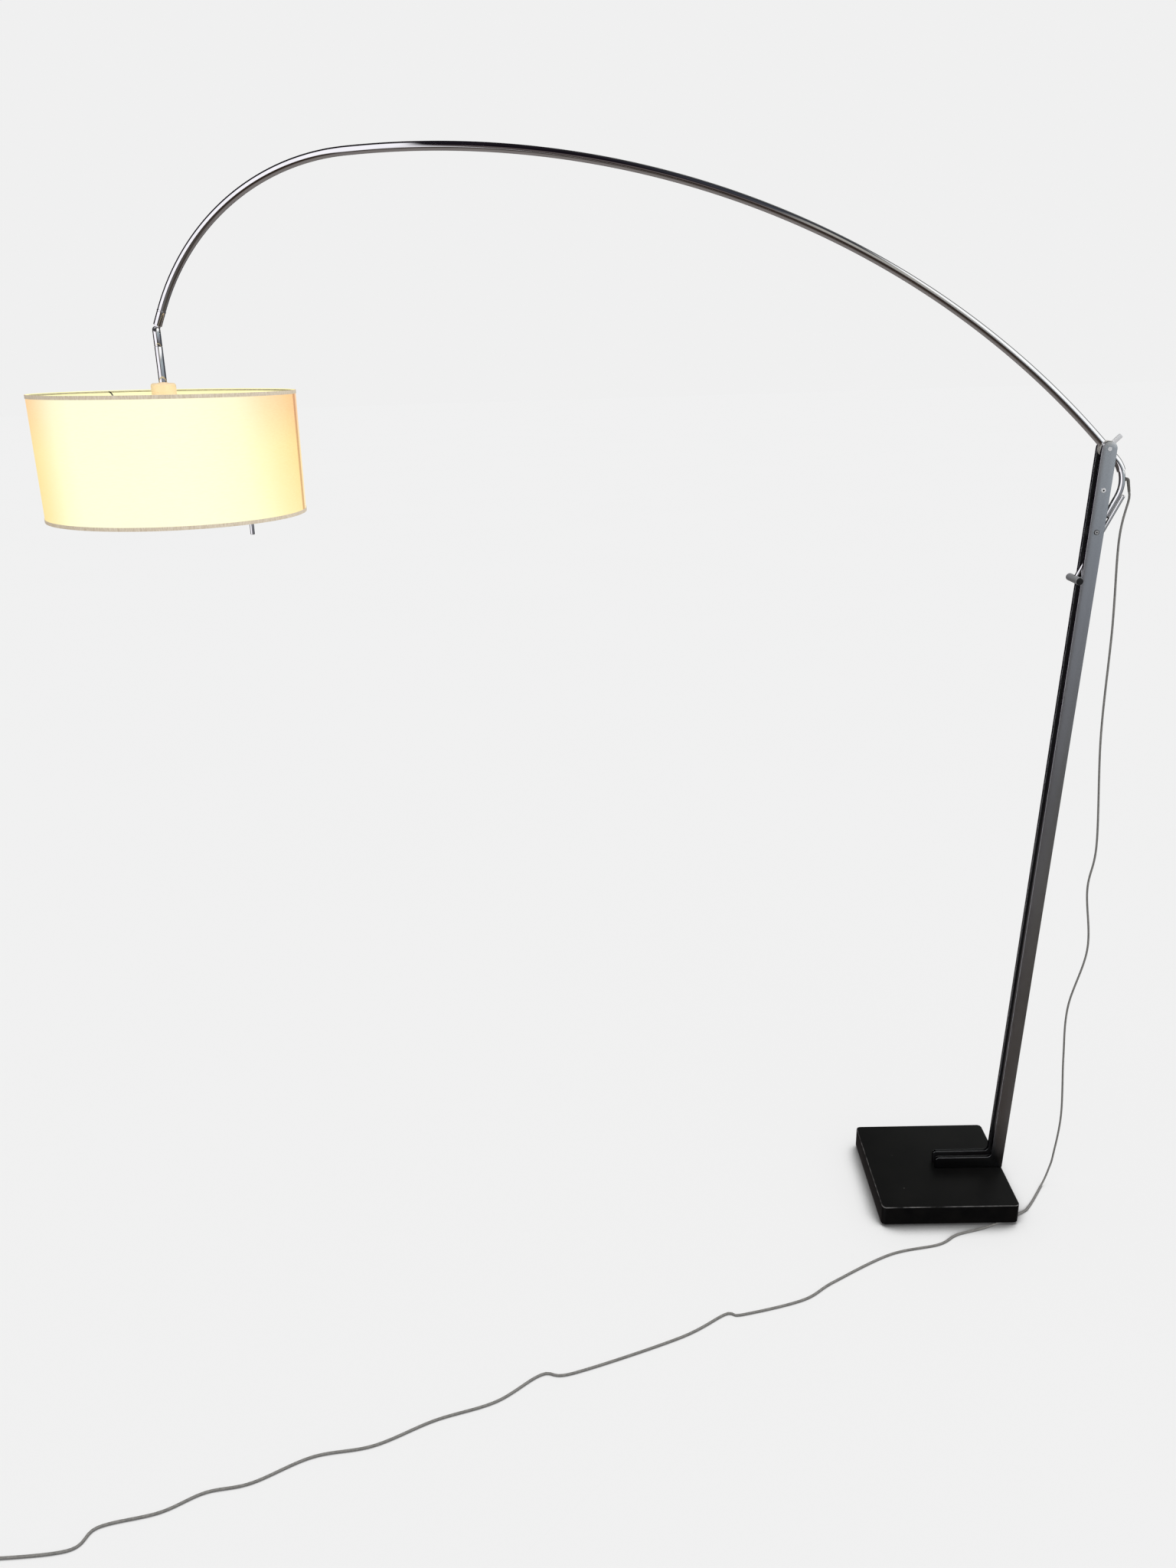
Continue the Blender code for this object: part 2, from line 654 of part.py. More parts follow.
def build_hinge_sleeve():
    """The fitting on the arm's end, with a round-ended tongue for the shade's fork."""
    matrix = axis_matrix(SHADE_HINGE, -SLEEVE_DIRECTION)
    body = as_mesh(turned([
        (0, HINGE_SLEEVE + 11 * MM),
        (SPIGOT_RADIUS, HINGE_SLEEVE + 11 * MM),
        (SPIGOT_RADIUS, HINGE_SLEEVE - 2 * GAP),
        (TUBE_RADIUS + 0.5 * MM, HINGE_SLEEVE - 2 * GAP),
        (TUBE_RADIUS + 0.5 * MM, HINGE_SLEEVE - 3 * MM),
        (TUBE_RADIUS + 0.1 * MM, HINGE_SLEEVE - 3.6 * MM),
        (TUBE_RADIUS + 0.1 * MM, 9.2 * MM),
        (TUBE_RADIUS - 1 * MM, 8.4 * MM),
        (0, 8.4 * MM),
    ], matrix, steps=20))
    angles = [math.pi + math.pi * k / 8 for k in range(9)]
    tongue_end = [Vector((5.4 * MM * math.cos(a), 5.4 * MM * math.sin(a))) for a in angles]
    outline = tongue_end + [Vector((5.4 * MM, 12 * MM)), Vector((-5.4 * MM, 12 * MM))]
    tilt = math.atan2(-SLEEVE_DIRECTION.x, -SLEEVE_DIRECTION.z)
    upright = Matrix.Rotation(tilt, 4, "Y") @ Matrix.Rotation(math.radians(90), 4, "X")
    tongue = as_mesh(flat_piece([outline], FORK_SLOT - 2 * GAP, Matrix.Translation(SHADE_HINGE) @ upright))
    combine(body, tongue, "UNION")
    bore = rod(WIRE_BORE, 60 * MM, matrix @ Matrix.Translation((0, 0, 10.6 * MM)), steps=12)
    combine(body, bore)
    pin_hole = rod(2.4 * MM, 20 * MM, axis_matrix(SHADE_HINGE - ACROSS * 10 * MM, ACROSS), steps=12)
    combine(body, pin_hole)
    place(body, "hinge_sleeve", "chrome")


def build_inner_wire():
    """The lead inside the arm, from the shade's hinge sleeve to the cord grommet."""
    radius = 2 * MM
    first = SHADE_HINGE - SLEEVE_DIRECTION * 14 * MM
    arm_side = list(reversed(SWEEP_POINTS[1:] + CROOK_POINTS[1:]))
    through_hub = [PIVOT + ARM_DIRECTION * (ARM_SPIGOT + 5 * MM), PIVOT]
    path = [first] + arm_side[::2] + through_hub + TAIL_POINTS[:4]
    place(as_mesh(wire(path, radius, 2)), "inner_wire", "cord_grey")


# ---------------------------------------------------------------- shade head

def head_matrix(depth, radius=0.0, azimuth=0.0):
    """A place on the head: depth below the shade hinge, then out from its axis."""
    turn = Matrix.Rotation(HEAD_TILT, 4, "Y")
    spot = Vector((radius * math.cos(azimuth), radius * math.sin(azimuth), -depth))
    return Matrix.Translation(SHADE_HINGE) @ turn @ Matrix.Translation(spot)


def head_profile(pairs):
    """Profile pairs given as (radius, depth below the hinge)."""
    return [(radius, -depth) for radius, depth in pairs]


def build_fork_and_stem():
    hub = head_matrix(0)
    fork_end = 30 * MM
    dome = []
    for k in range(5):
        angle = math.radians(90 - 22.5 * k)
        dome.append((STEM_RADIUS * math.cos(angle), -STEM_RADIUS * math.sin(angle)))
    fork = as_mesh(turned(head_profile(dome + [
        (STEM_RADIUS, fork_end),
        (STEM_BORE - GAP, fork_end),
        (STEM_BORE - GAP, fork_end + 14 * MM),
        (0, fork_end + 14 * MM),
    ]), hub, steps=20))
    slot_floor = 7 * MM
    slot_box = [Vector((-0.02, -slot_floor)), Vector((0.02, -slot_floor)), Vector((0.02, 0.02)),
                Vector((-0.02, 0.02))]
    slot = as_mesh(flat_piece([slot_box], FORK_SLOT, hub @ Matrix.Rotation(math.radians(90), 4, "X")))
    combine(fork, slot)
    combine(fork, rod(2.4 * MM, 20 * MM, axis_matrix(SHADE_HINGE - ACROSS * 10 * MM, ACROSS), steps=12))
    wire_hole = rod(2.5 * MM, 60 * MM, head_matrix(60 * MM), steps=12)
    combine(fork, wire_hole)
    place(fork, "hinge_fork", "chrome")

    near_face = SHADE_HINGE - ACROSS * (STEM_RADIUS + 0.4 * MM)
    seat = axis_matrix(near_face, -ACROSS)
    hinge_screw = screw_piece(3.2 * MM, 1.2 * MM, 2 * MM, 2 * STEM_RADIUS + 1.8 * MM, seat, 0.4)
    place(hinge_screw, "hinge_screw", "dark_steel")
    nut = sleeve(3.4 * MM, 2.3 * MM, 0, 1.6 * MM,
                 axis_matrix(SHADE_HINGE + ACROSS * (STEM_RADIUS + 0.4 * MM), ACROSS), 6)
    place(nut, "hinge_nut", "dark_steel")

    top = fork_end + GAP
    stem = sleeve(STEM_RADIUS, STEM_BORE, -(CAP_TOP - GAP), -top, hub, 28)
    place(stem, "stem_tube", "chrome")


def build_socket():
    hub = head_matrix(0)
    wall = 2 * MM
    rim = SPIDER_LEVEL - 2 * MM
    cap = turned(head_profile([
        (5 * MM, CAP_TOP),
        (CAP_RADIUS - 4 * MM, CAP_TOP),
        (CAP_RADIUS - 1.2 * MM, CAP_TOP + 1.2 * MM),
        (CAP_RADIUS, CAP_TOP + 4 * MM),
        (CAP_RADIUS, rim),
        (CAP_RADIUS - wall, rim),
        (CAP_RADIUS - wall, CAP_TOP + 4 * MM),
        (CAP_RADIUS - 5 * MM, CAP_TOP + wall),
        (5 * MM, CAP_TOP + wall),
    ]), hub, closed=True, steps=28)
    place(cap, "socket_cap", "cream_plastic")

    body_top = CAP_TOP + 6 * MM
    body_end = CAP_TOP + 56 * MM
    body = turned(head_profile([
        (0, body_top),
        (19.5 * MM, body_top),
        (19.5 * MM, body_end),
        (14 * MM, body_end),
        (14 * MM, body_end - 30 * MM),
        (0, body_end - 30 * MM),
    ]), hub, steps=24)
    place(body, "socket_body", "cream_plastic")

    spider_ring = sleeve(27 * MM, 20 * MM, -(SPIDER_LEVEL + 1.5 * MM), -(SPIDER_LEVEL - 1.5 * MM), hub, 28)
    place(spider_ring, "spider_ring", "satin_steel")
    nut_top = SPIDER_LEVEL + 1.5 * MM + GAP
    ring_nut = sleeve(24 * MM, 20 * MM, -(nut_top + 6 * MM), -nut_top, hub, 28)
    place(ring_nut, "shade_nut", "cream_plastic")

    cap_start = body_end - 27 * MM
    cap_end = body_end + 2 * MM
    bulb_cap = turned(head_profile([
        (0, cap_start),
        (4 * MM, cap_start),
        (13 * MM, cap_start + 5 * MM),
        (13 * MM, cap_end),
        (0, cap_end),
    ]), hub, steps=16)
    place(bulb_cap, "bulb_cap", "satin_steel")

    glass = 1 * MM
    neck = cap_end + GAP
    centre = neck + 56 * MM
    thin = BULB_RADIUS - glass
    profile = [(0, centre + thin)]
    for k in range(5):
        angle = math.radians(72 - 27 * k)
        profile.append((thin * math.cos(angle), centre + thin * math.sin(angle)))
    profile += [(13 * MM, neck + 12 * MM), (11.5 * MM, neck), (12.5 * MM, neck), (14 * MM, neck + 12 * MM)]
    for k in range(5):
        angle = math.radians(-36 + 27 * k)
        profile.append((BULB_RADIUS * math.cos(angle), centre + BULB_RADIUS * math.sin(angle)))
    profile.append((0, centre + BULB_RADIUS))
    bulb = turned(head_profile(profile), hub, steps=20)
    place(bulb, "bulb_glass", "bulb_glass")


def build_shade():
    hub = head_matrix(0)
    shade_end = SHADE_TOP + SHADE_HEIGHT
    fabric = sleeve(SHADE_RADIUS, SHADE_RADIUS - FABRIC, -shade_end, -SHADE_TOP, hub, 48)
    place(fabric, "shade_fabric", "shade_fabric")
    ring_radius = SHADE_RADIUS - FABRIC - GAP - RING_WIRE
    levels = {"top": SHADE_TOP + 3 * MM, "bottom": shade_end - 3 * MM}
    for name, level in levels.items():
        section = circle((ring_radius, -level), RING_WIRE, 6)
        profile = [(p.x, p.y) for p in reversed(section)]
        place(turned(profile, hub, closed=True, steps=48), f"{name}_ring", "satin_steel")
    trims = {"top": SHADE_TOP, "bottom": shade_end - TRIM_HEIGHT}
    inner = SHADE_RADIUS + GAP
    for name, level in trims.items():
        trim = sleeve(inner + TRIM_THICKNESS, inner, -(level + TRIM_HEIGHT), -level, hub, 48)
        place(trim, f"{name}_trim", "shade_trim")

    start = 27 * MM + GAP
    ring_inside = ring_radius - RING_WIRE - GAP
    for number, degrees in enumerate(ARM_AZIMUTHS, 1):
        azimuth = math.radians(degrees)
        rise = SPIDER_LEVEL - levels["top"]
        spots = [(start, 0), (ring_inside - 30 * MM, 0), (ring_inside - 20 * MM, rise * 0.15),
                 (ring_inside - 10 * MM, rise * 0.8), (ring_inside - 1 * MM, rise)]
        path = [head_matrix(SPIDER_LEVEL - up, out, azimuth).translation for out, up in spots]
        place(as_mesh(wire(path, 1.5 * MM, 2)), f"spider_arm_{number}", "satin_steel")


def build_pull_switch():
    azimuth = math.radians(ARM_AZIMUTHS[0])
    top = SPIDER_LEVEL + 1.5 * MM + GAP
    box_end = top + 20 * MM
    spot = head_matrix(0, SWITCH_RADIUS, azimuth)
    box = turned(head_profile([
        (0, top),
        (8 * MM, top),
        (10 * MM, top + 2 * MM),
        (10 * MM, box_end),
        (3 * MM, box_end),
        (3 * MM, box_end - 14 * MM),
        (0, box_end - 14 * MM),
    ]), spot, steps=16)
    place(box, "switch_box", "cream_plastic")

    knob_top = 335 * MM
    knob_end = 395 * MM
    pull_rod = rod(1.5 * MM, knob_top - GAP - (box_end - 6 * MM), spot @ Matrix.Translation(
        (0, 0, -(knob_top - GAP))), steps=12)
    place(pull_rod, "pull_rod", "satin_steel")
    knob = rod(4.3 * MM, knob_end - knob_top, spot @ Matrix.Translation((0, 0, -knob_end)), 0.8 * MM, 16)
    place(knob, "pull_knob", "chrome")


# ---------------------------------------------------------------- cord

def build_cord():
    """The cord hangs from the tail to the floor, runs under the plate's near corner and away to a coil."""
    lie = CORD_RADIUS + 0.1 * MM
    hang = [
        CORD_EXIT + EXIT_DIRECTION * 2 * GAP,
        CORD_EXIT + EXIT_DIRECTION * 8 * MM,
        Vector((0.2763, 0.000, 1.645)),
        Vector((0.2667, 0.000, 1.565)),
        Vector((0.2750, 0.000, 1.385)),
        Vector((0.2790, 0.000, 1.150)),
        Vector((0.2990, 0.000, 0.900)),
        Vector((0.2910, 0.000, 0.790)),
        Vector((0.3080, 0.000, 0.640)),
        Vector((0.2800, 0.000, 0.490)),
        Vector((0.2840, 0.000, 0.355)),
        Vector((0.2965, 0.002, 0.190)),
        Vector((0.2890, 0.002, 0.072)),
        Vector((0.2825, 0.000, 0.039)),
        Vector((0.2700, -0.010, 0.013)),
    ]
    floor = [
        Vector((0.2460, -0.0390, lie)),
        Vector((0.2060, -0.0930, lie)),
        Vector((0.1800, -0.1155, lie)),
        Vector((0.0860, -0.1620, lie)),
        Vector((0.0080, -0.1870, lie)),
        Vector((-0.0430, -0.2180, lie)),
        Vector((-0.1620, -0.2480, lie)),
        Vector((-0.3050, -0.3300, lie)),
        Vector((-0.3810, -0.3815, lie)),
        Vector((-0.5190, -0.4210, lie)),
        Vector((-0.5510, -0.4180, lie)),
        Vector((-0.6540, -0.4815, lie)),
        Vector((-0.8770, -0.5700, lie)),
        Vector((-0.9400, -0.5720, lie)),
        Vector((-1.0280, -0.6370, lie)),
        Vector((-1.1440, -0.6790, lie)),
        Vector((-1.2540, -0.7345, lie)),
        Vector((-1.3660, -0.7575, lie)),
        Vector((-1.4680, -0.8115, lie)),
        Vector((-1.5480, -0.8300, lie)),
        Vector((-1.6190, -0.8690, lie)),
        Vector((-1.7200, -0.8965, lie)),
        Vector((-1.7560, -0.9400, lie)),
        COIL_ARRIVAL + Vector((COIL_CLEARANCE, 0, lie)),
    ]
    lying_route = smooth_route(floor, 42)
    onward = (lying_route[1] - lying_route[0]).normalized()
    landing = floor[0] - onward * 20 * MM
    hanging_route = smooth_route(hang + [landing], 38) + [floor[0]]
    place(as_mesh(wire(hanging_route, CORD_RADIUS, 2)), "cord_hanging", "cord_grey")
    lying_route[0] += onward * GAP
    place(as_mesh(wire(lying_route, CORD_RADIUS, 2)), "cord_floor", "cord_grey")

    coil = sleeve(COIL_RADIUS + 2 * CORD_RADIUS, COIL_RADIUS - 2 * CORD_RADIUS, 0.1 * MM,
                  0.1 * MM + 4 * CORD_RADIUS, Matrix.Translation(COIL_CENTRE), 36)
    place(coil, "cord_coil", "cord_grey")

    plug_radius = 9 * MM
    plug_start = COIL_ARRIVAL + Vector((-COIL_CLEARANCE - 45 * MM, 0, plug_radius + 0.1 * MM))
    lead_start = COIL_ARRIVAL + Vector((-COIL_CLEARANCE, 0, 0.1 * MM + 3 * CORD_RADIUS))
    lead = [
        lead_start,
        lead_start.lerp(plug_start, 0.3) - UP * 0.2 * MM,
        lead_start.lerp(plug_start, 0.8) + UP * 0.2 * MM,
        plug_start + Vector((GAP, 0, 0)),
    ]
    place(as_mesh(wire(lead, CORD_RADIUS, 2)), "cord_lead", "cord_grey")

    away = Vector((-1, 0, 0))
    plug = turned([
        (0, PLUG_LENGTH),
        (plug_radius - 1 * MM, PLUG_LENGTH),
        (plug_radius, PLUG_LENGTH - 1 * MM),
        (plug_radius, 18 * MM),
        (6 * MM, 6 * MM),
        (5 * MM, 0),
        (0, 0),
    ], axis_matrix(plug_start, away), steps=20)
    place(plug, "plug_body", "black_plastic")
    side = away.cross(UP)
    for number, offset in enumerate((-9.5 * MM, 9.5 * MM), 1):
        spread = offset * 0.6
        foot = plug_start + away * (PLUG_LENGTH + GAP) + side * spread
        place(rod(2 * MM, 19 * MM, axis_matrix(foot, away), 0.5 * MM, 12), f"plug_pin_{number}", "satin_steel")


clear_scene()
LAMP = new_collection("arc_floor_lamp")
CUTTERS = new_collection("cutters")
MATERIALS = make_materials()

build_base()
build_uprights()
build_stand_hardware()
build_hub()
build_arm()
build_tail()
build_lever()
build_lock_stud()
build_hinge_sleeve()
build_inner_wire()
build_fork_and_stem()
build_socket()
build_shade()
build_pull_switch()
build_cord()
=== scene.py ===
import math

import bmesh
import bpy
from mathutils import Matrix, Vector


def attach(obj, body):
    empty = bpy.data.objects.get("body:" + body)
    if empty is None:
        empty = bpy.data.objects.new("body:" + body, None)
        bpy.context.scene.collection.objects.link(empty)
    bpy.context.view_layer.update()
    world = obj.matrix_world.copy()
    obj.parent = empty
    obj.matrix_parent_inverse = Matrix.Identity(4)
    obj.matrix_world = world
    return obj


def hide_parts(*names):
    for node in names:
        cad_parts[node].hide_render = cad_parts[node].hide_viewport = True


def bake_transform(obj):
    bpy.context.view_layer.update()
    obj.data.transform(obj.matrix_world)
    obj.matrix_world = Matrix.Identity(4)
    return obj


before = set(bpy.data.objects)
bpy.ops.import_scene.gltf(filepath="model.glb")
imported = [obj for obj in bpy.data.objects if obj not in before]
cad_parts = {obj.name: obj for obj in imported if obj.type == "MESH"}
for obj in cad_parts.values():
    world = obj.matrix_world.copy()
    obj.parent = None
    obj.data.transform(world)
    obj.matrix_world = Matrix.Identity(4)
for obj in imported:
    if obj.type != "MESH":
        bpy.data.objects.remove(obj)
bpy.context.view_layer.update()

MM = 0.001
GAP = 0.3 * MM
UP = Vector((0, 0, 1))
ACROSS = Vector((0, 1, 0))

# Base and uprights
PLATE_LENGTH = 0.320
PLATE_DEPTH = 0.310
PLATE_BOTTOM = 0.006
PLATE_TOP = 0.055
PLATE_CORNER = 0.011
BAR_WIDTH = 0.030
BAR_THICKNESS = 0.008
BAR_SIDE = 0.0125
BAR_FACE = 0.0165
BAR_LEAN = math.radians(2.55)
BAR_TO_PIVOT = 1.6916
FOOT_LENGTH = 0.162
GAP_HALF = 0.0082
SPACER_DROP = 0.079
BRAKE_DROP = 0.161

# Arm, tail and lever
TUBE_RADIUS = 0.008
TUBE_BORE = 0.0065
HUB_RADIUS = 0.0155
HUB_WIDTH = 0.0164
ARM_START = math.radians(133.7)
SWEEP_RADIUS = 1.848
SWEEP_ANGLE = math.radians(49.9)
CROOK_RADIUS = 0.4425
CROOK_ANGLE = math.radians(62.2)
HINGE_SLEEVE = 0.038
TAIL_RADIUS = 0.006
TAIL_BORE = 0.0046
TAIL_STRAIGHT = 0.0286
TAIL_BEND = 0.066
TAIL_SWEEP = math.radians(69.3)
TAIL_LEG = 0.040
CORD_HOLE_ANGLE = math.radians(5)
BOOT_BEND = 0.0042
BOOT_HEADING = math.radians(-78)
BOOT_LENGTH = 0.022
LEVER_RADIUS = 0.004
HANDLE_RADIUS = 0.0075
HANDLE_LENGTH = 0.056

# Shade head, by depth below the shade's hinge
HEAD_TILT = math.radians(1.0)
STEM_RADIUS = 0.0075
CAP_TOP = 0.096
CAP_RADIUS = 0.0235
SPIDER_LEVEL = 0.128
SHADE_TOP = 0.1127
SHADE_HEIGHT = 0.236
SHADE_RADIUS = 0.250
FABRIC = 0.0012
TRIM_HEIGHT = 0.007
BULB_RADIUS = 0.030
ARM_AZIMUTHS = (16, 136, 256)
SWITCH_RADIUS = 0.138
SEAM = math.radians(3)
KNOB_TOP = 0.335
KNOB_END = 0.395

# Cord
CORD_RADIUS = 0.00225
COIL_RADIUS = 0.027
COIL_ARRIVAL = Vector((-1.97, -0.955, 0))
COIL_CENTRE = COIL_ARRIVAL - ACROSS * (COIL_RADIUS + CORD_RADIUS)

# Camera
CAMERA_PLACE = (-0.7679, -2.4217, 1.9436)
CAMERA_PITCH = math.radians(19.836)
CAMERA_YAW = math.radians(-1.2538)
CAMERA_ROLL = math.radians(-1.7963)

# Stage
FLOOR_REACH = 60.0
FLOOR_GLOW = 0.625
BACKDROP = (0.872, 0.872, 0.872)


# ---------------------------------------------------------------- shared places

def direction_of(heading):
    return Vector((math.cos(heading), 0, math.sin(heading)))


def arc_points(start, heading, radius, sweep, segments):
    """Points along an arc in the XZ plane. A positive sweep turns from +X towards +Z."""
    side = math.copysign(1, sweep)
    centre = start + Vector((-math.sin(heading), 0, math.cos(heading))) * side * radius
    points = []
    for k in range(segments + 1):
        turn = Matrix.Rotation(-sweep * k / segments, 3, "Y")
        points.append(centre + turn @ (start - centre))
    return points


BAR_UP = Vector((math.sin(BAR_LEAN), 0, math.cos(BAR_LEAN)))
BAR_FORWARD = Vector((-math.cos(BAR_LEAN), 0, math.sin(BAR_LEAN)))
REAR_CORNER = Vector((PLATE_LENGTH / 2, 0, PLATE_TOP + GAP))
FRONT_EDGE = REAR_CORNER + BAR_FORWARD * BAR_WIDTH
PIVOT = REAR_CORNER + BAR_UP * BAR_TO_PIVOT + BAR_FORWARD * BAR_WIDTH / 2
SPACER = PIVOT - BAR_UP * SPACER_DROP
BRAKE = PIVOT - BAR_UP * BRAKE_DROP

ARM_DIRECTION = direction_of(ARM_START)
TAIL_HEADING = ARM_START + math.pi
TAIL_DIRECTION = -ARM_DIRECTION
STUD_DIRECTION = direction_of(ARM_START - math.pi / 2)
SWEEP_POINTS = arc_points(PIVOT, ARM_START, SWEEP_RADIUS, SWEEP_ANGLE, 120)
CROOK_POINTS = arc_points(SWEEP_POINTS[-1], ARM_START + SWEEP_ANGLE, CROOK_RADIUS, CROOK_ANGLE, 60)
SLEEVE_DIRECTION = direction_of(ARM_START + SWEEP_ANGLE + CROOK_ANGLE)
SHADE_HINGE = CROOK_POINTS[-1] + SLEEVE_DIRECTION * HINGE_SLEEVE

TAIL_BEND_START = PIVOT + TAIL_DIRECTION * TAIL_STRAIGHT
TAIL_POINTS = arc_points(TAIL_BEND_START, TAIL_HEADING, TAIL_BEND, -TAIL_SWEEP, 36)
LEG_DIRECTION = direction_of(TAIL_HEADING - TAIL_SWEEP)
LEG_SIDE = Vector((-LEG_DIRECTION.z, 0, LEG_DIRECTION.x))
TAIL_END = TAIL_POINTS[-1] + LEG_DIRECTION * TAIL_LEG
BEND_CENTRE = TAIL_BEND_START + Vector((math.sin(TAIL_HEADING), 0, -math.cos(TAIL_HEADING))) * TAIL_BEND
HOLE_DIRECTION = direction_of(CORD_HOLE_ANGLE)
CORD_HOLE = BEND_CENTRE + HOLE_DIRECTION * (TAIL_BEND + TAIL_RADIUS)
BOOT_TURN = arc_points(CORD_HOLE + HOLE_DIRECTION * 1.9 * MM, CORD_HOLE_ANGLE, BOOT_BEND,
                       BOOT_HEADING - CORD_HOLE_ANGLE, 12)
EXIT_DIRECTION = direction_of(BOOT_HEADING)
CORD_EXIT = BOOT_TURN[-1] + EXIT_DIRECTION * BOOT_LENGTH
LEVER_TOP = TAIL_POINTS[-1] - LEG_DIRECTION * 9 * MM + LEG_SIDE * (TAIL_RADIUS + LEVER_RADIUS + GAP)
HANDLE_ADVANCE = HANDLE_RADIUS + 0.5 * MM - (LEVER_TOP - FRONT_EDGE).dot(BAR_FORWARD)
HANDLE = LEVER_TOP + LEG_DIRECTION * HANDLE_ADVANCE / LEG_DIRECTION.dot(BAR_FORWARD)


# ---------------------------------------------------------------- material helpers

def dress(node, **values):
    """Set a node's inputs, or link them to another node's output. An underscore stands for a space."""
    for key, value in values.items():
        port = node.inputs[key.replace("_", " ")]
        if isinstance(value, bpy.types.NodeSocket):
            node.id_data.links.new(value, port)
        else:
            port.default_value = value


def new_material(name):
    made = bpy.data.materials.new(name)
    made.use_nodes = True
    tree = made.node_tree
    return made, tree, tree.nodes["Principled BSDF"]


def object_place(tree):
    return tree.nodes.new("ShaderNodeTexCoord").outputs["Object"]


def object_axes(tree):
    split = tree.nodes.new("ShaderNodeSeparateXYZ")
    dress(split, Vector=object_place(tree))
    return split.outputs["X"], split.outputs["Y"], split.outputs["Z"]


def noise(tree, scale, detail=3.0, stretch=(1, 1, 1)):
    """Noise in the object's own coordinates, stretched along its axes."""
    spread = tree.nodes.new("ShaderNodeMapping")
    texture = tree.nodes.new("ShaderNodeTexNoise")
    dress(spread, Scale=stretch, Vector=object_place(tree))
    dress(texture, Scale=scale, Detail=detail, Vector=spread.outputs["Vector"])
    return texture.outputs["Fac"]


def ramp(tree, source, stops):
    """Colours at positions along a value. A single number is a grey."""
    made = tree.nodes.new("ShaderNodeValToRGB")
    while len(made.color_ramp.elements) < len(stops):
        made.color_ramp.elements.new(0.5)
    for element, (position, colour) in zip(made.color_ramp.elements, stops):
        element.position = position
        element.color = (*colour, 1) if isinstance(colour, tuple) else (colour, colour, colour, 1)
    dress(made, Fac=source)
    return made.outputs["Color"]


def two_tone(tree, drift, dark, light):
    return ramp(tree, drift, [(0.3, dark), (0.7, light)])


def rescaled(tree, source, **limits):
    """Map a value from From_Min, From_Max to To_Min, To_Max, each 0 to 1 unless it is given."""
    made = tree.nodes.new("ShaderNodeMapRange")
    dress(made, Value=source, **limits)
    return made.outputs["Result"]


def gloss_drift(tree, drift, low, high):
    return rescaled(tree, drift, To_Min=low, To_Max=high)


def multiplied(tree, first, second):
    made = tree.nodes.new("ShaderNodeMix")
    made.data_type = "RGBA"
    made.blend_type = "MULTIPLY"
    dress(made, Factor=1.0, A=first, B=second)
    return made.outputs["Result"]


def bump(tree, shader, height, strength, distance):
    made = tree.nodes.new("ShaderNodeBump")
    dress(made, Strength=strength, Distance=distance, Height=height)
    dress(shader, Normal=made.outputs["Normal"])


def mottled(name, dark, light, scale, metallic, rough_low, rough_high, grain=0.1):
    """A finish whose colour and gloss drift a little over the surface, with a fine grain."""
    made, tree, shader = new_material(name)
    drift = noise(tree, scale, 4)
    dress(shader, Base_Color=ramp(tree, drift, [(0.35, dark), (0.65, light)]), Metallic=metallic,
          Roughness=gloss_drift(tree, drift, rough_low, rough_high))
    bump(tree, shader, noise(tree, scale * 12, 2), grain, 0.0001)
    return made


def painted_bars(name, tones):
    """Satin metallic grey paint with fine orange peel and a faint drift; the tones, set by height up the
    bar, darken it towards the foot as painted shade.
    """
    made, tree, shader = new_material(name)
    drift = noise(tree, 9, 5, (1, 1, 0.35))
    paint = two_tone(tree, drift, (0.67, 0.69, 0.71), (0.74, 0.76, 0.78))
    # Painted shade: the tones darken the paint towards the foot of the bar.
    height = object_axes(tree)[2]
    dress(shader, Base_Color=multiplied(tree, paint, ramp(tree, height, tones)), Metallic=1.0,
          Roughness=gloss_drift(tree, drift, 0.22, 0.30))
    bump(tree, shader, noise(tree, 900, 2), 0.12, 0.00006)
    return made


def plate_paint():
    """Satin black with a sparse scatter of tiny pale dust specks."""
    made, tree, shader = new_material("plate_paint")
    cells = tree.nodes.new("ShaderNodeTexVoronoi")
    dress(cells, Scale=55, Vector=object_place(tree))
    specks = ramp(tree, cells.outputs["Distance"], [(0.0, 1), (0.035, 1), (0.05, 0)])
    few = ramp(tree, noise(tree, 23, 1), [(0.60, 0), (0.64, 1)])
    ground = two_tone(tree, noise(tree, 14, 4), 0.0038, (0.0066, 0.0063, 0.0058))
    dusty = tree.nodes.new("ShaderNodeMix")
    dusty.data_type = "RGBA"
    dress(dusty, Factor=multiplied(tree, specks, few), A=ground, B=(0.35, 0.34, 0.33, 1))
    dress(shader, Base_Color=dusty.outputs["Result"],
          Roughness=gloss_drift(tree, noise(tree, 30), 0.3, 0.42))
    bump(tree, shader, noise(tree, 700, 2), 0.1, 0.00008)
    return made


def plate_side_painted_shade():
    """Painted shade: a darker copy of the plate's black with hardly any gloss, for its upright sides."""
    made = mottled("plate_side_painted_shade", (0.0006, 0.0006, 0.0008), (0.0030, 0.0026, 0.0022), 30, 0, 0.45, 0.6)
    dress(made.node_tree.nodes["Principled BSDF"], Specular_IOR_Level=0.12)
    return made


def chrome_plate():
    """Bright chrome with faint polishing drift."""
    made, tree, shader = new_material("chrome_plate")
    drift = noise(tree, 14)
    dress(shader, Base_Color=two_tone(tree, drift, 0.80, (0.90, 0.90, 0.895)), Metallic=1.0,
          Roughness=gloss_drift(tree, drift, 0.02, 0.05))
    return made


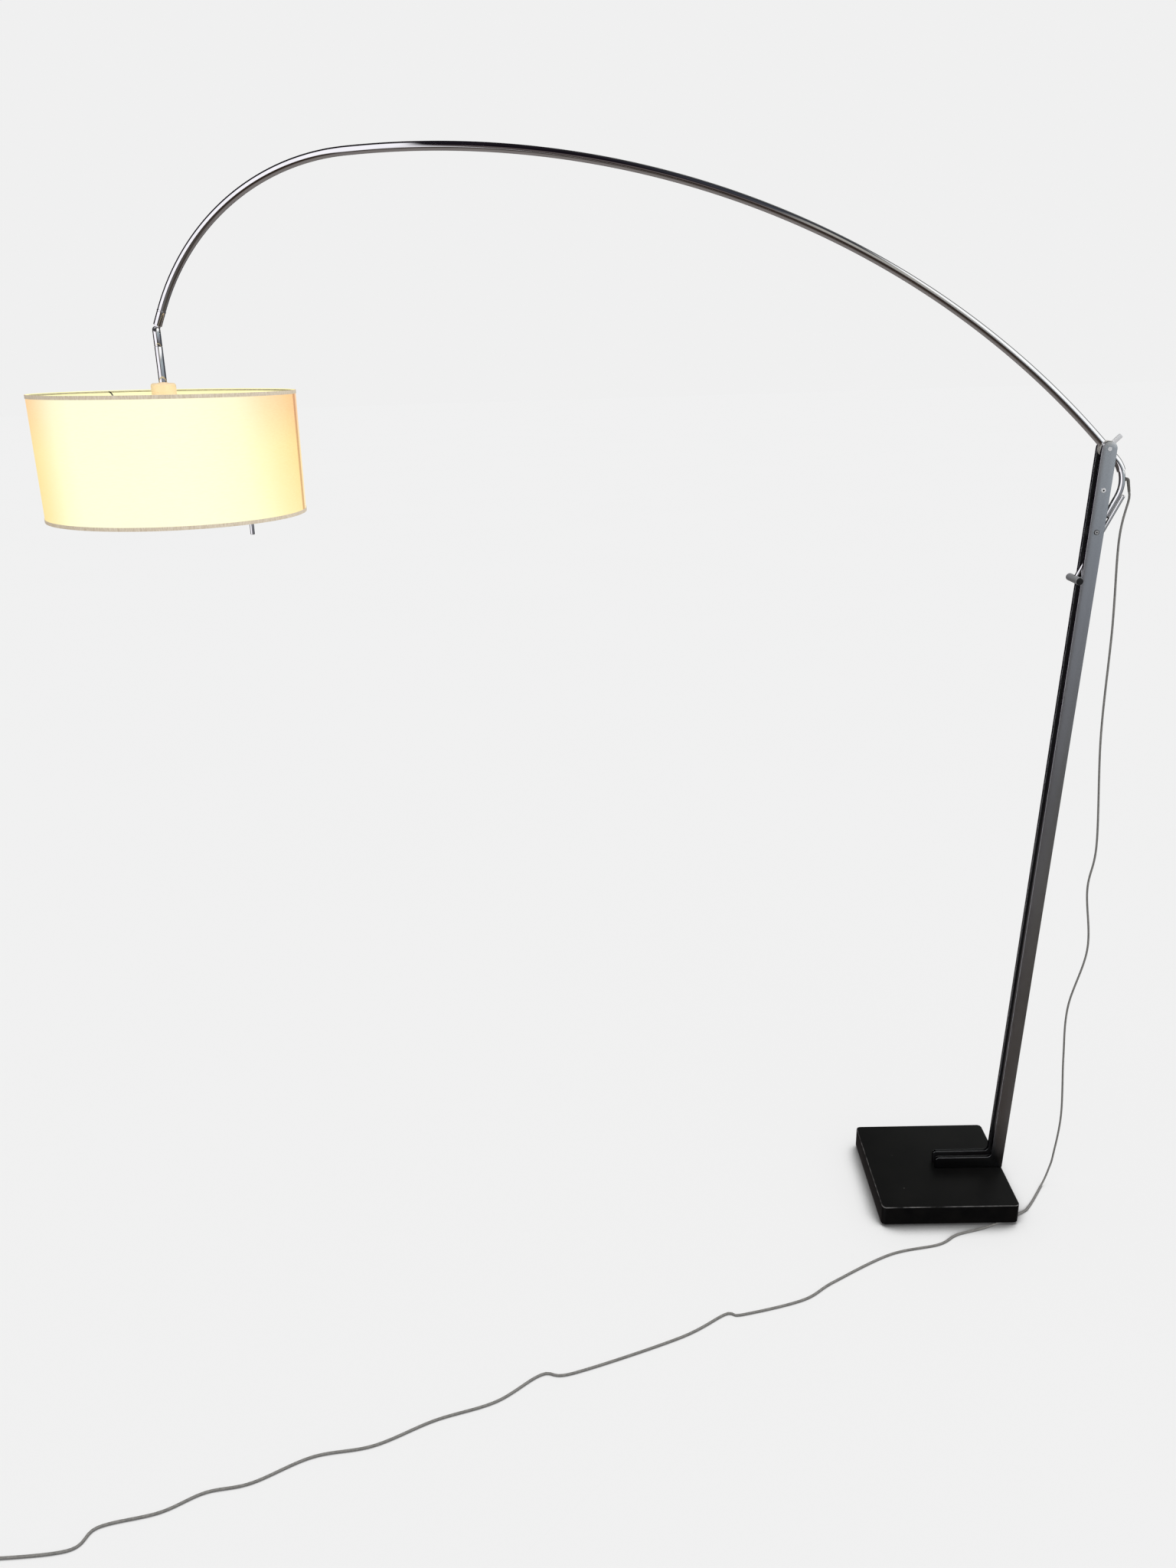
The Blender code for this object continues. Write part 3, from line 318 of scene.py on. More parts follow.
def shade_cloth():
    """Fine woven cloth lit from behind, its glow painted: pale in the middle, with painted shade turning it
    amber towards its right end and left edge.
    """
    made, tree, shader = new_material("shade_cloth")
    across, away, height = object_axes(tree)

    def along(value, low, high):
        return rescaled(tree, value, From_Min=low, From_Max=high)

    def combine(operation, first, second):
        node = tree.nodes.new("ShaderNodeMath")
        node.operation = operation
        for port, value in zip(node.inputs, (first, second)):
            if isinstance(value, (int, float)):
                port.default_value = value
            else:
                tree.links.new(value, port)
        return node.outputs["Value"]

    def times(first, second):
        return combine("MULTIPLY", first, second)

    def plus(first, second):
        return combine("ADD", first, second)

    # Painted shade on the glow: amber towards both sides across a fixed direction through the drum, and
    # rosy near the top edge.
    width = plus(times(across, 0.943), times(away, 0.333))
    sideways = along(width, -0.02, 0.27)
    upwards = along(height, -SHADE_TOP - SHADE_HEIGHT, -SHADE_TOP)
    right_end = times(times(sideways, sideways), plus(times(upwards, 0.35), 0.8))
    left_edge = times(along(width, -0.165, -0.255), 0.72)
    drift = times(combine("SUBTRACT", noise(tree, 7), 0.5), 0.08)
    amber = plus(plus(right_end, left_edge), drift)
    glow = ramp(tree, amber, [(0.0, (0.96, 0.95, 0.66)), (0.25, (0.96, 0.94, 0.58)),
                              (0.5, (0.95, 0.80, 0.38)), (0.75, (0.94, 0.69, 0.25)),
                              (1.0, (0.86, 0.58, 0.17))])
    turn = combine("ARCTAN2", away, across)
    from_seam = along(combine("SUBTRACT", turn, SEAM), -0.1, 0.3)
    seam_line = (0.64, 0.46, 0.34)
    lap = ramp(tree, from_seam, [(0.13, 1), (0.19, seam_line), (0.30, seam_line), (0.38, (1.0, 1.06, 1.5)),
                                 (0.85, (1.0, 1.06, 1.4)), (1.0, 1)])
    # Painted shade: a rosy tint on the glow near the top edge, where the glow is amber.
    blush = times(along(height, -SHADE_TOP - 0.10, -SHADE_TOP), times(amber, 1.8))
    rosy = ramp(tree, blush, [(0.0, 1), (1.0, (1, 0.83, 0.98))])
    cloth = two_tone(tree, noise(tree, 90, 3, (1, 1, 6)), (0.17, 0.16, 0.12), (0.23, 0.21, 0.17))
    dress(shader, Base_Color=cloth, Emission_Color=multiplied(tree, multiplied(tree, glow, lap), rosy),
          Emission_Strength=1.0, Roughness=0.85, Sheen_Weight=0.1)
    threads_up = tree.nodes.new("ShaderNodeTexWave")
    threads_up.bands_direction = "Z"
    dress(threads_up, Scale=420, Distortion=0.4, Vector=object_place(tree))
    threads_round = combine("SINE", times(turn, 1500.0), 0.0)
    weave = plus(threads_up.outputs["Fac"], times(threads_round, 0.5))
    slubs = times(noise(tree, 60, 2, (1, 1, 9)), 0.8)
    bump(tree, shader, plus(weave, slubs), 0.25, 0.0002)
    return made


def lit_finish(name, drift_of, base, glow, strength, roughness, grain):
    """A finish with a painted glow for the lamp shining through or onto it. base and glow are pairs of
    tones.
    """
    made, tree, shader = new_material(name)
    drift = noise(tree, *drift_of)
    if isinstance(roughness, tuple):
        roughness = gloss_drift(tree, drift, *roughness)
    dress(shader, Base_Color=two_tone(tree, drift, *base), Emission_Color=two_tone(tree, drift, *glow),
          Emission_Strength=strength, Roughness=roughness)
    if grain:
        strength, distance, *grain_of = grain
        bump(tree, shader, noise(tree, *grain_of), strength, distance)
    return made


MATERIALS = {
    "plate_side_painted_shade": plate_side_painted_shade(),
    "rubber": mottled("pad_rubber", 0.012, 0.03, 60, 0, 0.7, 0.9, 0.3),
    "black_plate": plate_paint(),
    # Both upright looks are darker towards the floor as painted shade.
    "grey_paint": painted_bars("upright_paint_painted_shade", [(0.085, 0.10), (0.12, 0.50), (0.20, 0.90), (0.35, 1.0)]),
    # A shaded copy of the upright paint for the front edge, near black at the foot: painted shade.
    "front_painted_shade": painted_bars("upright_front_painted_shade", [(0.10, 0.04), (0.20, 0.10), (0.45, 0.25), (0.9, 0.9)]),
    "chrome": chrome_plate(),
    "satin_steel": mottled("satin_metal", 0.36, (0.46, 0.46, 0.455), 45, 1, 0.26, 0.38),
    "pale_metal": mottled("hub_metal", (0.78, 0.75, 0.70), (0.90, 0.87, 0.82), 60, 0.15, 0.3, 0.42),
    "boot_grey": mottled("boot_moulding", (0.15, 0.145, 0.135), (0.20, 0.195, 0.18), 160, 0, 0.45, 0.6,
                         0.2),
    "pin_metal": mottled("pin_metal", (0.82, 0.84, 0.86), (0.90, 0.91, 0.93), 160, 0.0, 0.35, 0.45),
    "grip_metal": mottled("grip_metal", (0.50, 0.51, 0.53), (0.58, 0.59, 0.61), 120, 0.3, 0.28, 0.38),
    "ring_metal": mottled("ring_wire", (0.60, 0.54, 0.36), (0.72, 0.66, 0.46), 90, 0.1, 0.35, 0.5),
    # Painted shade: near black for the uprights' faces towards the gap between them.
    "gap_shade": mottled("inner_face_painted_shade", (0.010, 0.010, 0.011), (0.016, 0.016, 0.017), 30, 0.2, 0.4, 0.5),
    # Painted highlight along the feet's upper rounded edges.
    "edge_painted_highlight": mottled("foot_edge_painted_highlight", (0.48, 0.49, 0.51), (0.60, 0.61, 0.63), 60, 0.1, 0.3, 0.4),
    # Painted highlight along the plate's upper bevels, broken by noise.
    "plate_edge_painted_highlight": mottled("plate_edge_painted_highlight", 0.004, (0.24, 0.235, 0.23), 38, 0.1, 0.3, 0.4),
    # Near-white heads for the bright screws and the lock stud: a painted reflection of their plating.
    "screw_painted_reflection": mottled("screw_painted_reflection", (0.92, 0.94, 0.96), 0.98, 200, 0.05, 0.2, 0.3),
    # Painted shade in the screws' socket recesses and around the lower screws' washers.
    "recess_painted_shade": mottled("screw_recess_painted_shade", 0.01, 0.02, 200, 0, 0.5, 0.7),
    "screw_grey": mottled("brake_screw_metal", (0.42, 0.43, 0.44), (0.50, 0.51, 0.52), 200, 0.2, 0.3, 0.4),
    # The lining's glow is painted light from the bulb.
    "shade_lining": lit_finish("shade_lining", (6,), ((0.20, 0.18, 0.10), (0.26, 0.24, 0.14)),
                               ((1.0, 0.97, 0.50), (1.0, 1.0, 0.62)), 0.92, 0.6,
                               (0.15, 0.0001, 500, 2, (1, 1, 4))),
    "dark_steel": mottled("dark_metal", (0.05, 0.05, 0.052), 0.11, 90, 1, 0.32, 0.46, 0.2),
    "nylon": mottled("brake_nylon", 0.020, (0.034, 0.033, 0.032), 80, 0, 0.4, 0.55, 0.2),
    "black_plastic": mottled("black_moulding", 0.006, 0.014, 120, 0, 0.3, 0.45, 0.2),
    # The socket plastic glows with painted light from the lamp.
    "cream_plastic": lit_finish("socket_plastic_painted_glow", (40,), ((0.86, 0.66, 0.42), (0.93, 0.74, 0.50)),
                                ((1.0, 0.74, 0.42), (1.0, 0.80, 0.50)), 0.30, (0.28, 0.4),
                                (0.1, 0.00005, 800, 2)),
    "shade_fabric": shade_cloth(),
    # The trim tape's glow is painted light from the bulb behind it.
    "shade_trim": lit_finish("trim_tape", (400, 3, (1, 1, 0.3)), ((0.46, 0.41, 0.34), (0.62, 0.57, 0.48)),
                             ((0.80, 0.62, 0.40), (0.95, 0.80, 0.58)), 0.34, 0.85,
                             (0.4, 0.0002, 400, 3, (1, 1, 0.3))),
    "bulb_glass": lit_finish("bulb_glow", (30, 2), ((1.0, 0.90, 0.62), (1.0, 0.96, 0.78)),
                             ((1.0, 0.90, 0.62), (1.0, 0.96, 0.78)), 3.0, (0.15, 0.3), None),
    "cord_grey": mottled("cord_sheath", (0.25, 0.245, 0.23), (0.33, 0.32, 0.30), 200, 0, 0.4, 0.55, 0.2),
}


# ---------------------------------------------------------------- mesh helpers

def finished(work, name, matrix=None):
    """Turn a bmesh into a mesh, moved by the matrix if there is one."""
    if matrix:
        work.transform(matrix)
    mesh = bpy.data.meshes.new(name)
    work.to_mesh(mesh)
    work.free()
    return mesh


def in_scene(name, data):
    item = bpy.data.objects.new(name, data)
    bpy.context.scene.collection.objects.link(item)
    return item


def piece(name, mesh, look, body, nodes, matrix=None, sharp=35, others=(), picks=None):
    """Put a mesh in the scene as a finished piece. picks gives the number of each face's look."""
    mesh.shade_smooth()
    mesh.set_sharp_from_angle(angle=math.radians(sharp))
    mesh.materials.clear()
    for finish in (look, *others):
        mesh.materials.append(MATERIALS[finish])
    if picks:
        for face in mesh.polygons:
            face.material_index = int(picks(face))
    item = in_scene(name, mesh)
    if matrix is not None:
        item.matrix_world = matrix
    bpy.context.view_layer.update()
    if body:
        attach(item, body)
    if nodes:
        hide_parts(*nodes)
    return item


def axis_matrix(origin, direction):
    turn = Vector(direction).to_track_quat("Z", "Y").to_matrix().to_4x4()
    return Matrix.Translation(origin) @ turn


def rounded(profile, closed, steps=4):
    """Round the corners of a (radius, height, corner radius) profile with small arcs."""
    points = []
    count = len(profile)
    for i, entry in enumerate(profile):
        here = Vector(entry[:2])
        corner = entry[2] if len(entry) > 2 else 0.0
        inner = closed or 0 < i < count - 1
        if corner <= 0 or not inner:
            points.append(here)
            continue
        before = Vector(profile[i - 1][:2]) - here
        after = Vector(profile[(i + 1) % count][:2]) - here
        before.normalize()
        after.normalize()
        angle = before.angle(after)
        if angle > math.pi - 0.05:
            points.append(here)
            continue
        back = corner / math.tan(angle / 2)
        first = here + before * back
        last = here + after * back
        centre = here + (before + after).normalized() * corner / math.sin(angle / 2)
        for k in range(steps + 1):
            spot = first.lerp(last, k / steps) - centre
            points.append(centre + spot.normalized() * corner)
    return points


def lathe(profile, closed=False, steps=64):
    """A turned mesh about Z from (radius, height, corner radius) entries, down its outer side."""
    points = rounded(profile, closed)
    work = bmesh.new()
    rings = []
    for radius, height in points:
        if radius < 1e-7:
            rings.append([work.verts.new((0, 0, height))])
            continue
        ring = []
        for k in range(steps):
            angle = math.tau * k / steps
            ring.append(work.verts.new((radius * math.cos(angle), radius * math.sin(angle), height)))
        rings.append(ring)
    pairs = list(zip(rings, rings[1:]))
    if closed:
        pairs.append((rings[-1], rings[0]))
    for upper, lower in pairs:
        for k in range(steps):
            n = (k + 1) % steps
            corners = [upper[k % len(upper)], lower[k % len(lower)],
                       lower[n % len(lower)], upper[n % len(upper)]]
            if len(upper) == 1:
                corners = corners[:3]
            if len(lower) == 1:
                corners = [upper[k], lower[0], upper[n]]
            if len(upper) > 1 or len(lower) > 1:
                work.faces.new(corners)
    bmesh.ops.recalc_face_normals(work, faces=work.faces)
    return finished(work, "turned")


def rod(radius, top, bottom, steps=32):
    return lathe([(0, top), (radius, top), (radius, bottom), (0, bottom)], steps=steps)


def collar(bore, radius, top, bottom, corner, steps):
    """A ring whose outer edges are rounded."""
    return lathe([(bore, top), (radius, top, corner), (radius, bottom, corner), (bore, bottom)],
                 closed=True, steps=steps)


def ring_frames(points):
    """Directions along a path and a normal carried along it without twist."""
    tangents = []
    for i in range(len(points)):
        before = points[max(i - 1, 0)]
        after = points[min(i + 1, len(points) - 1)]
        tangents.append((after - before).normalized())
    normal = tangents[0].orthogonal().normalized()
    frames = []
    for tangent in tangents:
        normal = (normal - tangent * normal.dot(tangent)).normalized()
        frames.append((tangent, normal, tangent.cross(normal)))
    return frames


def tube(points, radii, sides=24, bore=None):
    """A tube through points. A single radius or one for each point; open with a wall if it has a bore."""
    if not isinstance(radii, (list, tuple)):
        radii = [radii] * len(points)
    work = bmesh.new()

    def skin(sizes):
        rings = []
        for point, size, (tangent, normal, side) in zip(points, sizes, ring_frames(points)):
            ring = []
            for k in range(sides):
                angle = math.tau * k / sides
                spoke = normal * math.cos(angle) + side * math.sin(angle)
                ring.append(work.verts.new(point + spoke * size))
            rings.append(ring)
        for first, second in zip(rings, rings[1:]):
            for k in range(sides):
                n = (k + 1) % sides
                work.faces.new((first[k], first[n], second[n], second[k]))
        return rings

    outer = skin(radii)
    if bore:
        inner = skin([bore] * len(points))
        for end in (0, -1):
            for k in range(sides):
                n = (k + 1) % sides
                work.faces.new((outer[end][k], outer[end][n], inner[end][n], inner[end][k]))
    else:
        work.faces.new(outer[0])
        work.faces.new(outer[-1])
    bmesh.ops.recalc_face_normals(work, faces=work.faces)
    return finished(work, "tube")


def round_corners(corners, segments=8):
    """Turn (x, y, radius) corners into an outline whose corners are arcs."""
    outline = []
    count = len(corners)
    for i, (x, y, radius) in enumerate(corners):
        here = Vector((x, y))
        if radius <= 0:
            outline.append(here)
            continue
        before = (Vector(corners[i - 1][:2]) - here).normalized()
        after = (Vector(corners[(i + 1) % count][:2]) - here).normalized()
        half = before.angle(after) / 2
        centre = here + (before + after).normalized() * radius / math.sin(half)
        start = here + before * radius / math.tan(half) - centre
        sweep = start.angle_signed(here + after * radius / math.tan(half) - centre)
        for k in range(segments + 1):
            outline.append(centre + Matrix.Rotation(-sweep * k / segments, 2) @ start)
    return outline


def slab(outline, thickness, edge, matrix, segments=3):
    """A flat solid with softly rounded edges, centred on its plane."""
    work = bmesh.new()
    low = [work.verts.new((p.x, p.y, -thickness / 2)) for p in outline]
    high = [work.verts.new((p.x, p.y, thickness / 2)) for p in outline]
    bottom = work.faces.new(low)
    top = work.faces.new(high)
    count = len(outline)
    for k in range(count):
        n = (k + 1) % count
        work.faces.new((low[k], low[n], high[n], high[k]))
    bmesh.ops.recalc_face_normals(work, faces=work.faces)
    rims = [e for e in work.edges if bottom in e.link_faces or top in e.link_faces]
    bmesh.ops.bevel(work, geom=rims, offset=edge, segments=segments, profile=0.5, affect="EDGES",
                    clamp_overlap=True)
    return finished(work, "slab", matrix)


def cut(mesh, cutters):
    """Cut turned meshes out of a mesh and return the result."""
    item = in_scene("work", mesh)
    helpers = []
    for cutter_mesh, matrix in cutters:
        helper = in_scene("cutter", cutter_mesh)
        helper.matrix_world = matrix
        step = item.modifiers.new("cut", "BOOLEAN")
        step.operation = "DIFFERENCE"
        step.object = helper
        helpers.append(helper)
    bpy.context.view_layer.update()
    depsgraph = bpy.context.evaluated_depsgraph_get()
    result = bpy.data.meshes.new_from_object(item.evaluated_get(depsgraph))
    for helper in helpers + [item]:
        bpy.data.objects.remove(helper, do_unlink=True)
    return result


def smooth_route(route, spacing):
    """Evenly spaced points on a smooth curve through the route's own points."""
    dense = []
    ends = [route[0] * 2 - route[1], *route, route[-1] * 2 - route[-2]]
    for a, b, c, d in zip(ends, ends[1:], ends[2:], ends[3:]):
        for k in range(24):
            t = k / 24
            dense.append(0.5 * (2 * b + (c - a) * t + (2 * a - 5 * b + 4 * c - d) * t * t
                                + (3 * b - a - 3 * c + d) * t ** 3))
    dense.append(route[-1])
    lengths = [0.0]
    for a, b in zip(dense, dense[1:]):
        lengths.append(lengths[-1] + (b - a).length)
    count = max(2, round(lengths[-1] / spacing) + 1)
    points = []
    index = 0
    for k in range(count):
        wanted = lengths[-1] * k / (count - 1)
        while index < len(lengths) - 2 and lengths[index + 1] < wanted:
            index += 1
        span = max(lengths[index + 1] - lengths[index], 1e-9)
        points.append(dense[index].lerp(dense[index + 1], (wanted - lengths[index]) / span))
    return points


# ---------------------------------------------------------------- camera

def build_camera():
    data = bpy.data.cameras.new("camera")
    data.sensor_fit = "VERTICAL"
    data.sensor_height = 36.0
    data.lens = 27.106
    data.clip_end = 200.0
    forward = Vector((math.sin(CAMERA_YAW) * math.cos(CAMERA_PITCH),
                      math.cos(CAMERA_YAW) * math.cos(CAMERA_PITCH), -math.sin(CAMERA_PITCH)))
    right = Vector((math.cos(CAMERA_YAW), -math.sin(CAMERA_YAW), 0))
    above = right.cross(forward)
    across = right * math.cos(CAMERA_ROLL) + above * math.sin(CAMERA_ROLL)
    upwards = above * math.cos(CAMERA_ROLL) - right * math.sin(CAMERA_ROLL)
    turn = Matrix((across, upwards, -forward)).transposed().to_4x4()
    item = in_scene("camera", data)
    item.matrix_world = Matrix.Translation(CAMERA_PLACE) @ turn
    bpy.context.scene.camera = item


# ---------------------------------------------------------------- cord

# The cord's own places between the boot and the coil: hanging (x, y, z), then on the floor (x, y)
CORD_HANGS = [
    (0.2763, 0, 1.645), (0.2667, 0, 1.565), (0.275, 0, 1.385), (0.279, 0, 1.15), (0.299, 0, 0.9),
    (0.291, 0, 0.79), (0.308, 0, 0.64), (0.28, 0, 0.49), (0.284, 0, 0.355), (0.2965, 0.002, 0.19),
    (0.289, 0.002, 0.072), (0.2825, 0, 0.039), (0.27, -0.01, 0.013),
]
CORD_LIES = [
    (0.2575, -0.0225), (0.246, -0.039), (0.206, -0.093), (0.18, -0.1155), (0.086, -0.162),
    (0.008, -0.187), (-0.043, -0.218), (-0.162, -0.248), (-0.305, -0.33), (-0.381, -0.3815),
    (-0.519, -0.421), (-0.551, -0.418), (-0.654, -0.4815), (-0.877, -0.57), (-0.94, -0.572),
    (-1.028, -0.637), (-1.144, -0.679), (-1.254, -0.7345), (-1.366, -0.7575), (-1.468, -0.8115),
    (-1.548, -0.83), (-1.619, -0.869), (-1.72, -0.8965), (-1.756, -0.94), (-1.91, -0.955),
]


def cord_route():
    """The cord from the tail, down to the floor, under the plate's near corner and away to its coil."""
    lie = CORD_RADIUS + 0.1 * MM
    down = [CORD_EXIT - EXIT_DIRECTION * 3 * MM, CORD_EXIT + EXIT_DIRECTION * 8 * MM]
    down += [Vector(spot) for spot in CORD_HANGS]
    down += [Vector((x, y, lie)) for x, y in CORD_LIES]
    wide = COIL_RADIUS + CORD_RADIUS
    narrow = COIL_RADIUS - CORD_RADIUS
    coil = []
    for k in range(97):
        turns = k / 24
        inwards = smooth_step(turns, 0.75, 1.25) - smooth_step(turns, 2.75, 3.25)
        upwards = smooth_step(turns, 1.6, 2.4)
        radius = wide + (narrow - wide) * inwards
        angle = math.pi / 2 + math.tau * turns
        coil.append(COIL_CENTRE + Vector((radius * math.cos(angle), radius * math.sin(angle),
                                          lie + 2 * CORD_RADIUS * upwards)))
    end = COIL_ARRIVAL + Vector((-0.018 - 0.045, 0, 9.1 * MM))
    leave = [coil[-1].lerp(end, 0.35), coil[-1].lerp(end, 0.75) + UP * 0.3 * MM, end]
    path = smooth_route(down + coil + leave, 0.009)
    for point in path:
        point.z = max(point.z, lie)
    return path, end


def smooth_step(value, low, high):
    share = min(max((value - low) / (high - low), 0.0), 1.0)
    return share * share * (3 - 2 * share)


def boot_mesh():
    """The moulded boot: a collar in the tail's hole, an elbow, and a ribbed nozzle that narrows."""
    points = []
    sizes = []
    for out, radius in ((-4, 3.3), (0.3, 3.3), (0.35, 3.6), (0.6, 3.9), (1.1, 3.9), (1.4, 3.6), (1.5, 3.1)):
        points.append(CORD_HOLE + HOLE_DIRECTION * out * MM)
        sizes.append(radius * MM)
    for point in BOOT_TURN:
        points.append(point)
        sizes.append(3.1 * MM)
    for k in range(1, 57):
        share = k / 56
        radius = 3.1 - 0.4 * share
        if 0.22 < share < 0.9 and k % 8 in (0, 1, 2):
            radius -= 0.35 if k % 8 == 1 else 0.2
        if k == 56:
            radius = 2.4
        points.append(BOOT_TURN[-1] + EXIT_DIRECTION * BOOT_LENGTH * share)
        sizes.append(radius * MM)
    return tube(points, sizes, 32)


def build_cord():
    path, end = cord_route()
    item = piece("mains_cord", tube(path, CORD_RADIUS, 12), "cord_grey", None,
                 ["cord_hanging", "cord_floor", "cord_coil", "cord_lead"], sharp=60)
    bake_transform(item)

    relief = piece("cord_relief", boot_mesh(), "boot_grey", "arm", ["cord_grommet"])
    plug_length = 0.042
    away = Vector((-1, 0, 0))
    seat = axis_matrix(end, away)
    plug = piece("mains_plug", lathe([
        (0, plug_length), (8.6 * MM, plug_length, 1.5 * MM), (8.6 * MM, 30 * MM, 2 * MM),
        (7.6 * MM, 27 * MM, 2 * MM), (7.8 * MM, 19 * MM, 2 * MM), (5.2 * MM, 8 * MM, 3 * MM),
        (4.6 * MM, 7 * MM, 0.3 * MM), (4.6 * MM, 5.6 * MM, 0.3 * MM), (4.0 * MM, 5.4 * MM, 0.2 * MM),
        (4.0 * MM, 3.6 * MM, 0.2 * MM), (4.3 * MM, 3.4 * MM, 0.2 * MM), (3.2 * MM, 0.2 * MM, 0.5 * MM),
        (0, 0.2 * MM),
    ], steps=40), "black_plastic", "stand", ["plug_body"], seat)
    for number, offset in enumerate((-5.7 * MM, 5.7 * MM), 1):
        foot = end + away * (plug_length + GAP) + ACROSS * offset
        piece(f"mains_pin_{number}", lathe([
            (0, 19 * MM), (2 * MM, 19 * MM, 0.9 * MM), (2 * MM, 0), (0, 0),
        ], steps=24), "satin_steel", "stand", [f"plug_pin_{number}"], axis_matrix(foot, away))


# ---------------------------------------------------------------- stand

def build_base():
    middle = Matrix.Translation((0, 0, (PLATE_BOTTOM + PLATE_TOP) / 2))
    x, y = PLATE_LENGTH / 2, PLATE_DEPTH / 2
    box = round_corners([(-x, -y, PLATE_CORNER), (x, -y, PLATE_CORNER), (x, y, PLATE_CORNER),
                         (-x, y, PLATE_CORNER)], 10)
    # The plate's upper bevels get a painted highlight and its upright sides painted shade.
    piece("plate", slab(box, PLATE_TOP - PLATE_BOTTOM, 2.2 * MM, middle, 5), "black_plate", "stand",
          ["base_plate"], None, 50, ("plate_edge_painted_highlight", "plate_side_painted_shade"),
          lambda face: 1 if 0.25 < face.normal.z < 0.93 else 2 * (abs(face.normal.z) <= 0.25))


def upright_outline():
    top = PIVOT + BAR_UP * BAR_WIDTH / 2
    top_rear = top - BAR_FORWARD * BAR_WIDTH / 2
    top_front = top + BAR_FORWARD * BAR_WIDTH / 2
    foot_top = REAR_CORNER.z + BAR_WIDTH
    crotch = FRONT_EDGE + BAR_UP * (foot_top - FRONT_EDGE.z) / BAR_UP.z
    tip = REAR_CORNER.x - FOOT_LENGTH
    return round_corners([
        (tip, REAR_CORNER.z, 1.5 * MM), (REAR_CORNER.x, REAR_CORNER.z, 1.5 * MM),
        (top_rear.x, top_rear.z, BAR_WIDTH / 2 - 0.01 * MM),
        (top_front.x, top_front.z, BAR_WIDTH / 2 - 0.01 * MM), (crotch.x, crotch.z, 10 * MM),
        (tip, foot_top, 8 * MM),
    ], 14)


def upright_finish(face, side):
    """Faces towards the gap get painted shade, the front edge its shaded copy of the paint, and the foot's
    upper rounded edges a painted highlight.
    """
    if face.normal.y * side < -0.9:
        return 1
    if face.normal.x < -0.8:
        return 3
    rounded_edge = 0.2 < abs(face.normal.y) < 0.95
    if rounded_edge and face.normal.z > 0.2 and face.center.z < 0.105:
        return 2
    return 0


def build_uprights():
    outline = upright_outline()
    stand_up = Matrix.Rotation(math.radians(90), 4, "X")
    for name, side in (("near", -1), ("far", 1)):
        matrix = Matrix.Translation((0, side * BAR_SIDE, 0)) @ stand_up
        bar = slab(outline, BAR_THICKNESS, 0.7 * MM, matrix, 3)
        holes = []
        for centre, radius in ((PIVOT, 4.4 * MM), (SPACER, 2.8 * MM), (BRAKE, 2.8 * MM)):
            hole = rod(radius, 0.02, -0.02)
            holes.append((hole, axis_matrix(centre + ACROSS * side * BAR_SIDE, ACROSS)))
        piece(f"upright_bar_{name}", cut(bar, holes), "grey_paint", "stand", [f"upright_{name}"], None, 40,
              ("gap_shade", "edge_painted_highlight", "front_painted_shade"), lambda face: upright_finish(face, side))


def screw_mesh(head_radius, head_height, shank_radius, length, socket, domed=0.4):
    recess = head_radius * socket
    return lathe([
        (0, head_height * 0.35), (recess, head_height * 0.35), (recess, head_height, 0.15 * MM),
        (head_radius, head_height, head_height * domed), (head_radius, 0, 0.1 * MM), (shank_radius, 0),
        (shank_radius, -length), (0, -length),
    ], steps=36)


def washer_screw(length):
    """A low screw head on a thin washer."""
    return lathe([
        (0, 0.9 * MM), (1.3 * MM, 0.9 * MM), (1.5 * MM, 1.6 * MM, 0.1 * MM),
        (4.1 * MM, 1.6 * MM, 0.6 * MM), (4.1 * MM, 0.6 * MM, 0.1 * MM), (5.2 * MM, 0.6 * MM, 0.3 * MM),
        (5.2 * MM, 0, 0.1 * MM), (2.5 * MM, 0), (2.5 * MM, -length), (0, -length),
    ], steps=40)


def build_stand_hardware():
    piece("spacer", collar(2.8 * MM, 6 * MM, GAP_HALF, -GAP_HALF, 0.3 * MM, 40), "satin_steel", "stand",
          ["spacer_tube"], axis_matrix(SPACER, ACROSS))
    face = BAR_FACE + GAP
    for name, side in (("near", -1), ("far", 1)):
        outwards = ACROSS * side
        # The upper screws' socket recesses get painted shade.
        piece(f"upper_screw_{name}", screw_mesh(4.5 * MM, 2.5 * MM, 2.5 * MM, face - 0.5 * MM, 0.42),
              "screw_painted_reflection", "stand", [f"spacer_screw_{name}"],
              axis_matrix(SPACER + outwards * face, outwards), 35, ("recess_painted_shade",),
              lambda side_face: math.hypot(*side_face.center[:2]) < 1.8 * MM)
        # The lower screws' middles and thin washers get painted shade, a dark outline round each head.
        piece(f"lower_screw_{name}", washer_screw(face - 4.8 * MM), "screw_grey", "stand",
              [f"brake_screw_{name}"], axis_matrix(BRAKE + outwards * face, outwards), 35, ("recess_painted_shade",),
              lambda side_face: not 1.3 * MM < math.hypot(*side_face.center[:2]) < 4.1 * MM)
        piece(f"pin_{name}", lathe([
            (0, 0.8 * MM), (4.1 * MM, 0.8 * MM, 0.45 * MM), (4.1 * MM, -12.5 * MM), (0, -12.5 * MM),
        ], steps=36), "pin_metal", "stand", [f"pivot_pin_{name}"],
              axis_matrix(PIVOT + outwards * face, outwards))
        piece(f"brake_disc_{name}", collar(2.8 * MM, 14 * MM, GAP_HALF, 4.5 * MM, 0.5 * MM, 64), "nylon",
              "stand", [f"brake_pad_{name}"], axis_matrix(BRAKE, outwards))


# ---------------------------------------------------------------- arm

